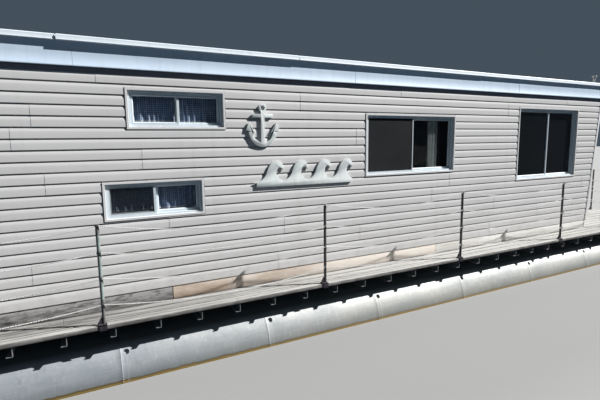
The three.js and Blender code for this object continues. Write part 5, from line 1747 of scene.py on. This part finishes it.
@dataclass
class Roof:
    """Rolled roofing, the fascia, the drip edge and the vent."""

    tools: Tools
    crown: float = 0.080
    strip: float = 0.914
    step: float = 0.004
    fascia_seams: tuple[float, ...] = (-3.20, -0.15, 2.90)
    edge_seams: tuple[float, ...] = (-3.32, -0.93, 2.12)
    edge_outs: tuple[float, ...] = (-0.003, 0.005, 0.000, -0.004)
    inward: float = -0.170
    free: float = -0.03
    nail_drop: float = 0.040

    def covering(self) -> None:
        """Builds the roofing in strips across the boat, each lapped over the next."""
        low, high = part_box("roof_panel")
        half, top = high.y, high.z - self.crown - 0.0008
        draft, places = Draft(), spread(low.x, high.x, self.strip)
        for number, (a, b) in enumerate(zip(places, places[1:])):
            draft.mark = (number * 0.37) % 1.0
            rings = []
            for x, lift in ((a, 0.0), (b - 0.001, self.step)):
                crowned = [(x, y, top + lift - self.step + self.crown * (1 - (y / half) ** 2))
                           for y in spread(-half, half, 0.12)]
                rings.append([(x, -half, low.z), *crowned, (x, half, low.z)])
            draft.loft(rings)
        add("roofing", draft, Palette.ROOFING, ["roof_panel"])

    def girdle(self, node: str, profile: Sequence[Pair], seams: Sequence[float], wave: float, lip: float,
               joint: Pair, outs: Sequence[float] = ()) -> Draft:
        """Draws a profile of (out, up) pairs round the roof's edge, in lapped lengths.

        Args:
            node: The solid whose outer edge it follows.
            profile: The closed section; out counts from that edge, inwards negative.
            seams: Where one length laps the next, along X.
            wave: How far the metal waves in and out.
            lip: How far a lapped end stands out.
            joint: Half the width of the joint between two lengths, and its depth.
            outs: How much farther out each length lies.

        Returns:
            The draft.
        """
        low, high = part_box(node)
        corners = [(low.x, low.y), (high.x, low.y), (high.x, high.y), (low.x, high.y)]
        rings = []
        for k, ((ax, ay), (bx, by)) in enumerate(zip(corners, [*corners[1:], corners[0]])):
            length = math.dist((ax, ay), (bx, by))
            ux, uy = (bx - ax) / length, (by - ay) / length
            laps = [abs(x - ax) for x in seams if k % 2 == 0]
            rings.append([(ax - ux * out + uy * out, ay - uy * out - ux * out, up) for out, up in profile])
            stops = {s for s in spread(0.0, length, 0.3) if 0.1 < s < length - 0.1}
            stops |= {s + sign * d for s in laps for d in (joint[0], joint[0] - 0.0004) for sign in (-1, 1)}
            for s in sorted(stops):
                phase = next((j for j, lap in enumerate(laps) if s < lap), len(laps))
                sunk = -joint[1] if any(abs(s - lap) < joint[0] - 0.0002 for lap in laps) else 0.0
                tilt = lip * (s - (laps[phase - 1] if phase else 0.0)) / 3.0 if laps else 0.0
                step = (outs[phase] if outs and laps else 0.0) + sunk
                ring = []
                for out, up in profile:
                    wavy = wave * noise.noise(Vector((s * 0.8 + k * 9, up * 5.0, phase * 4.0)))
                    loose = wavy * min(1.0, s, length - s) + lip - tilt + step
                    push = out + (loose if out > self.free else 0.0)
                    ring.append((ax + ux * s + uy * push, ay + uy * s - ux * push, up))
                rings.append(ring)
        draft = Draft()
        draft.loft(rings, wrap=True)
        return draft

    def build(self) -> None:
        """Builds all of the roof."""
        self.covering()
        low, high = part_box("roof_fascia")
        board = [(-0.0248, low.z), (-0.003, low.z), (0.0, low.z + 0.002), (0.0, low.z + 0.014),
                 (-0.0022, low.z + 0.018), (-0.0022, (low.z + high.z) / 2), (-0.0022, high.z),
                 (-0.0248, high.z)]
        draft = self.girdle("roof_fascia", board, self.fascia_seams, 0.0022, 0.0012, (0.0012, 0.004))
        add("fascia", draft, Palette.FASCIA, ["roof_fascia"], crease=30)
        spots = []
        for x in spread(low.x + 0.2, high.x - 0.2, 0.61):
            spots += [((x, low.y - 0.0004, high.z - self.nail_drop), HERE),
                      ((x, high.y + 0.0004, high.z - self.nail_drop), HALF_TURN)]
        low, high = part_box("roof_edge")
        lip = [(self.inward, low.z + 0.006), (-0.040, low.z), (-0.002, low.z), (0.001, low.z + 0.004),
               (-0.001, low.z + 0.010), (-0.001, high.z - 0.006), (-0.005, high.z),
               (self.inward + 0.006, high.z), (self.inward, high.z - 0.004)]
        draft = self.girdle("roof_edge", lip, self.edge_seams, 0.0030, 0.0014, (0.0055, 0.030),
                            self.edge_outs)
        add("drip_edge", draft, Palette.EDGE, ["roof_edge"], crease=30)
        self.vent()
        self.tools.scatter.run("fascia_nails", nail(0.003), spots, Palette.FASCIA, Slot.FASCIA, 17)

    def vent(self) -> None:
        """Builds the vent: a screwed flange, a short pipe with a rolled seam, and a flat cap."""
        low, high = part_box("roof_vent")
        centre, tall = ((low.x + high.x) / 2, (low.y + high.y) / 2, low.z), high.z - low.z
        flange, pipe, cap, pitch = (high.x - low.x) / 2 - 0.0004, 0.0202, 0.0416, 0.036
        draft = Draft()
        draft.turned([(0.0, 0.0), (flange, 0.0), (flange, 0.003), (flange - 0.004, 0.0055), (0.025, 0.007),
                      (pipe + 0.001, 0.012), (pipe, 0.020), (pipe, 0.055), (pipe + 0.001, 0.057),
                      (pipe + 0.001, 0.060), (pipe, 0.062), (pipe, tall - 0.0275),
                      (cap - 0.006, tall - 0.0265), (cap - 0.001, tall - 0.024), (cap, tall - 0.010),
                      (cap - 0.002, tall - 0.006), (cap * 0.55, tall - 0.0015), (0.0, tall)], centre,
                     sides=40)
        screw = [(0.0, 0.0), (0.0045, 0.0), (0.0045, 0.003), (0.003, 0.0042), (0.0, 0.0044)]
        for turn in angles(4):
            x, y = centre[0] + pitch * math.cos(turn), centre[1] + pitch * math.sin(turn)
            draft.turned(screw, (x, y, centre[2] + 0.0045), sides=10)
        add("vent", draft, Palette.ZINC, ["roof_vent"])


@dataclass
class Ornaments:
    """The anchor and the running waves on the starboard wall."""

    def build(self) -> None:
        """Finishes both ornaments with eased edges."""
        for name in ("anchor", "waves"):
            add_copy(f"emblem_{name}", f"ornament_{name}", Palette.ORNAMENT, 0.0018,
                     flat=0.4, crease=30)


@dataclass
class Doors:
    """The hinged stern door and the sliding bow door."""

    proud: float = 0.012
    pull_base: float = -0.050
    pull_line: tuple[Pair, ...] = ((-0.002, 1.98), (0.026, 1.99), (0.030, 2.06), (0.030, 2.14), (0.026, 2.21),
                                   (-0.002, 2.22))

    def build(self) -> None:
        """Builds both doors."""
        for node, body in (("stern_door_frame", Body.HULL), ("stern_door_leaf", Body.STERN_LEAF),
                           ("bow_door_frame", Body.HULL), ("bow_door_slider", Body.BOW_SLIDER)):
            add_copy(f"joinery_{node}", node, Palette.WHITE, 0.002, body)
        for node, body in (("stern_door_glass", Body.STERN_LEAF), ("bow_door_fixed_glass", Body.HULL),
                           ("bow_door_slider_glass", Body.BOW_SLIDER)):
            add_copy(f"pane_{node}", node, Palette.GLASS, 0.0008, body)
        self.mouldings()
        bow, y, pull = WallFace(Side.BOW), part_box("bow_door_slider")[1].y - 0.035, Draft()
        pull.tube([bow.at(y, self.pull_base + out, up) for out, up in self.pull_line], 0.007, 10)
        add("bow_door_pull", pull, Palette.BLACK, body=Body.BOW_SLIDER)

    def mouldings(self) -> None:
        """Builds the glazing bead and the panels of the stern leaf."""
        low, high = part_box("stern_door_glass")
        face, draft, proud = WallFace(Side.STERN), Draft(), self.proud
        back, width, margin = proud - 0.001, 0.022, 0.018
        face.mitred(draft, (low.y - margin, high.y + margin), (low.z - margin, high.z + margin),
                    [(0.0, back), (0.0, proud + 0.008), (width * 0.4, proud + 0.008), (width, back)])
        panel = [(0.0, back), (0.008, proud + 0.005), (0.020, proud + 0.005), (0.030, back)]
        for up in ((1.20, 1.50), (1.56, 1.86)):
            for along in ((-0.25, -0.02), (0.02, 0.25)):
                face.mitred(draft, along, up, panel)
        add("stern_door_mouldings", draft, Palette.WHITE, body=Body.STERN_LEAF)


@dataclass
class Outboard:
    """The motor: bracket, clamp, swivel, cowl, leg and propeller."""

    steer_x: float = -7.115
    prop_x: float = -7.448
    prop_z: float = 0.235
    blade_reach: float = 0.160
    hub: float = 0.038
    cowl_low: float = 1.200
    cowl_bow: float = -6.965
    clamp: Pair = (0.112, 0.985)

    def cowl_ring(self, low: Vector, high: Vector, z: float, inset: float) -> list[Point]:
        """Gives one level of the cowl, a rounded box shape that narrows forward."""
        middle, half, wide = (low.x + self.cowl_bow) / 2, (self.cowl_bow - low.x) / 2 - inset, high.y - inset
        ring = []
        for t in angles(48):
            u, v = power(math.cos(t), 2 / 3.4), power(math.sin(t), 2 / 3.4)
            ring.append((middle + half * u, wide * (1 - 0.10 * max(0.0, u)) * v, z))
        return ring

    def cowl(self) -> None:
        """Builds the cowl and the tray that it sits on."""
        (low, high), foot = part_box("outboard_engine"), self.cowl_low
        top, draft, tray = high.z, Draft(), Draft()
        levels = [(foot + 0.085, 0.004), (foot + 0.10, 0.0), (foot + 0.18, 0.001), (top - 0.20, 0.003),
                  (top - 0.12, 0.008), (top - 0.07, 0.020), (top - 0.035, 0.040), (top - 0.014, 0.066),
                  (top - 0.004, 0.095), (top, 0.130)]
        draft.loft([self.cowl_ring(low, high, z, inset) for z, inset in levels])
        add("motor_cowl", draft, Palette.COWL, ["outboard_engine"], Body.ENGINE, crease=50)
        levels = [(0.0, 0.045), (0.012, 0.022), (0.040, 0.006), (0.074, 0.002), (0.078, 0.008),
                  (0.084, 0.008)]
        tray.loft([self.cowl_ring(low, high, foot + rise, inset) for rise, inset in levels])
        tray.box((self.cowl_bow - 0.010, -0.030, foot + 0.050), (self.cowl_bow + 0.004, 0.030, foot + 0.120),
                 0.004)
        add("motor_tray", tray, Palette.BLACK, ["outboard_engine"], Body.ENGINE, crease=45)

    def wing(self, z: float, x: Pair, half: float, blunt: float = 2.6) -> list[Point]:
        """Gives a level section of the leg, blunt ahead and fine aft."""
        middle, reach = (x[0] + x[1]) / 2, (x[1] - x[0]) / 2
        ring = []
        for t in angles(32):
            u, v = power(math.cos(t), 2 / blunt), power(math.sin(t), 2 / blunt)
            fine = 1.0 if math.cos(t) > 0 else 1 - 0.45 * abs(u) ** 1.5
            ring.append((middle + reach * u, half * fine * v, z))
        return ring

    def leg(self) -> None:
        """Builds the leg, plate, gearcase and skeg."""
        draft, deep = Draft(), self.prop_z
        for sections in (((self.cowl_low + 0.010, (-7.350, -7.180), 0.062), (1.05, (-7.352, -7.182), 0.060),
                          (0.80, (-7.345, -7.186), 0.050), (0.72, (-7.340, -7.190), 0.044),
                          (0.42, (-7.340, -7.192), 0.040)),
                         ((0.4125, (-7.340, -7.192), 0.038), (0.36, (-7.343, -7.194), 0.024),
                          (deep, (-7.345, -7.190), 0.022))):
            draft.loft([self.wing(z, x, half) for z, x, half in sections])
        draft.loft([self.wing(z, (-7.470, -7.160), half, 2.2)
                    for z, half in ((0.3985, 0.094), (0.401, 0.098), (0.409, 0.098), (0.4115, 0.094))])
        case = [(0.0, -0.245), (0.034, -0.2448), (0.044, -0.235), (0.050, -0.18), (0.050, 0.0),
                (0.046, 0.020), (0.036, 0.036), (0.020, 0.046), (0.0, 0.0498)]
        draft.turned(case, (-7.160, 0.0, deep), 0)
        fin = [(-7.350, deep), (-7.345, 0.12), (-7.330, 0.047), (-7.320, 0.0451), (-7.290, 0.0451),
               (-7.280, 0.050), (-7.235, 0.15), (-7.200, deep)]
        draft.loft([[(x, y, z) for x, z in fin] for y in (-0.0055, 0.0055)])
        draft.box((-7.260, -0.050, 1.061), (-7.083, 0.050, 1.109), 0.010)
        draft.box((-7.230, -0.040, 0.781), (-7.083, 0.040, 0.821), 0.010)
        draft.tube([(self.steer_x, 0, 0.790), (self.steer_x, 0, 1.110)], 0.020, 20)
        draft.box((-7.075, -0.014, 1.075), (-6.985, 0.014, 1.100), 0.006)
        add("motor_leg", draft, Palette.COWL, ["outboard_engine"], Body.ENGINE, crease=38)

    def blade(self, draft: Draft, turn: float) -> None:
        """Draws one propeller blade, pitched more at its root than at its tip."""
        spin, rows = Matrix.Rotation(turn, 3, "X"), []
        for t in (k / 8 for k in range(9)):
            reach = self.hub - 0.006 + (self.blade_reach - self.hub + 0.006) * t
            chord = 0.052 * math.sin(math.pi * (0.24 + 0.70 * t)) ** 0.7 + 0.002
            pitch = math.radians(56 - 30 * t)
            thick = 0.0045 * (1 - 0.75 * t)
            ring = []
            for side in (1, -1):
                for s in ((j / 6 * 2 - 1) * side for j in range(7)):
                    along, swing = s * chord, thick * math.sqrt(max(0.0, 1 - s * s)) * side
                    x = along * math.cos(pitch) + swing * math.sin(pitch)
                    y = along * math.sin(pitch) - swing * math.cos(pitch)
                    spot = spin @ Vector((x, y + 0.012 * t * t, reach))
                    ring.append(tuple(spot + Vector((self.prop_x, 0, self.prop_z))))
            rows.append(ring)
        draft.loft(rows)

    def propeller(self) -> None:
        """Builds the hub, its shaft and three blades."""
        low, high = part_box("propeller")
        back, front, bore, draft = low.x - self.prop_x, high.x - self.prop_x, 0.0119, Draft()
        draft.turned([(0.0, back), (0.026, back + 0.0005), (0.034, back + 0.010), (self.hub, back + 0.030),
                      (self.hub, 0.036), (self.hub - 0.003, 0.037), (bore, 0.0371), (bore, front),
                      (0.0, front)], (self.prop_x, 0, self.prop_z), 0)
        for turn in angles(3):
            self.blade(draft, turn)
        add("screw_propeller", draft, Palette.ALLOY, ["propeller"], Body.PROPELLER, crease=40)

    def build(self) -> None:
        """Builds the motor from its bracket aft."""
        add_copy("bracket", "motor_bracket", Palette.ZINC, 0.003)
        add_copy("clamp", "outboard_clamp", Palette.ALLOY, 0.003)
        add_copy("swivel_housing", "outboard_swivel", Palette.ALLOY, 0.0012, Body.SWIVEL)
        self.cowl()
        self.leg()
        self.propeller()
        self.screws()

    def screws(self) -> None:
        """Builds the two clamp screws with their cross handles."""
        draft, z = Draft(), self.clamp[1]
        for y in (-self.clamp[0], self.clamp[0]):
            draft.tube([(-6.9105, y, z), (-6.868, y, z)], 0.009, 12)
            draft.tube([(-6.868, y, z), (-6.862, y, z)], 0.016, 16)
            draft.tube([(-6.872, y, z - 0.040), (-6.872, y, z + 0.037)], 0.005, 10)
        add("clamp_screws", draft, Palette.ZINC)


@dataclass
class Camera:
    """The camera, at the viewing angle of the picture."""

    place: Point = (-3.2405, -6.1073, 2.6888)
    lens: float = 25.722
    sensor: float = 36.0
    clip: Pair = (0.05, 500.0)
    yaw: float = 27.504
    pitch: float = 7.752
    roll: float = 0.699

    def build(self) -> None:
        """Builds the camera from its yaw to the bow, pitch down and roll."""
        yaw, pitch, roll = (math.radians(v) for v in (self.yaw, self.pitch, self.roll))
        right = Vector((math.cos(yaw), -math.sin(yaw), 0))
        ahead = Vector((math.sin(yaw) * math.cos(pitch), math.cos(yaw) * math.cos(pitch), -math.sin(pitch)))
        down = ahead.cross(right)
        across = right * math.cos(roll) + down * math.sin(roll)
        under = down * math.cos(roll) - right * math.sin(roll)
        data = bpy.data.cameras.new("camera")
        data.lens, data.sensor_width = self.lens, self.sensor
        data.clip_start, data.clip_end = self.clip
        piece = linked("camera", data)
        turn = Matrix((across, -under, -ahead)).transposed()
        piece.matrix_world = Matrix.Translation(self.place) @ turn.to_4x4()
        bpy.context.scene.camera = piece


@dataclass
class Studio:
    """A pale floor at the waterline, a key light from the bow, and soft fill."""

    key: Point = (0.730, -0.2735, 0.626)
    key_power: float = 8.5
    key_spread: float = 0.8
    fill: Point = (-0.45, 0.60, 0.66)
    fill_power: float = 2.6
    fill_spread: float = 20.0
    sky: float = 0.105
    sky_tone: Colour = (0.56, 0.77, 1.0, 1.0)
    floor_tone: Colour = shade(136, 136, 134)
    floor_reach: float = 120.0

    def lamp(self, name: str, towards: Point, strength: float, spread_by: float) -> None:
        """Builds a distant lamp."""
        data = bpy.data.lights.new(name, "SUN")
        data.energy, data.angle = strength, math.radians(spread_by)
        linked(name, data).rotation_euler = (-Vector(towards)).to_track_quat("-Z", "Y").to_euler()

    def build(self) -> None:
        """Builds the floor, the lamps and the even sky."""
        self.lamp("key", self.key, self.key_power, self.key_spread)
        self.lamp("fill", self.fill, self.fill_power, self.fill_spread)
        world = bpy.data.worlds.new("studio")
        world.use_nodes = True
        sky = world.node_tree.nodes["Background"].inputs
        sky["Color"].default_value, sky["Strength"].default_value = self.sky_tone, self.sky
        bpy.context.scene.world = world
        reach, floor = self.floor_reach, Draft()
        floor.box((-reach, -reach, PLAN.waterline - 0.02), (reach, reach, PLAN.waterline))
        piece = linked("studio_floor", floor.mesh("studio_floor"))
        piece.data.materials.append(Graph("studio_floor").close(self.floor_tone, 0.9))
        piece.visible_diffuse = piece.visible_glossy = False
        bpy.context.scene.view_settings.view_transform = "Standard"


def main() -> None:
    """Builds the camera, the boat's sub-assemblies in order, and the studio."""
    logging.basicConfig(level=logging.INFO, format="%(name)s %(message)s")
    Camera().build()
    tools = Tools()
    for assembly in (Pontoons, DeckFrame, Planking, GuardRail):
        assembly(tools).build()
    for side in Side:
        Siding(side).build()
    WallTrim(tools).build()
    for side in (Side.STARBOARD, Side.PORT):
        for number, opening in enumerate(OPENINGS):
            Window(opening, side).build()
            if opening.curtained:
                Curtain(opening, side, number).build()
            if opening.drawn:
                Curtain(opening, side, number, pleat=0.085, depth=0.018).build()
    Roof(tools).build()
    for assembly in (Ornaments, Doors, Outboard, Studio):
        assembly().build()


if __name__ == "__main__":
    main()
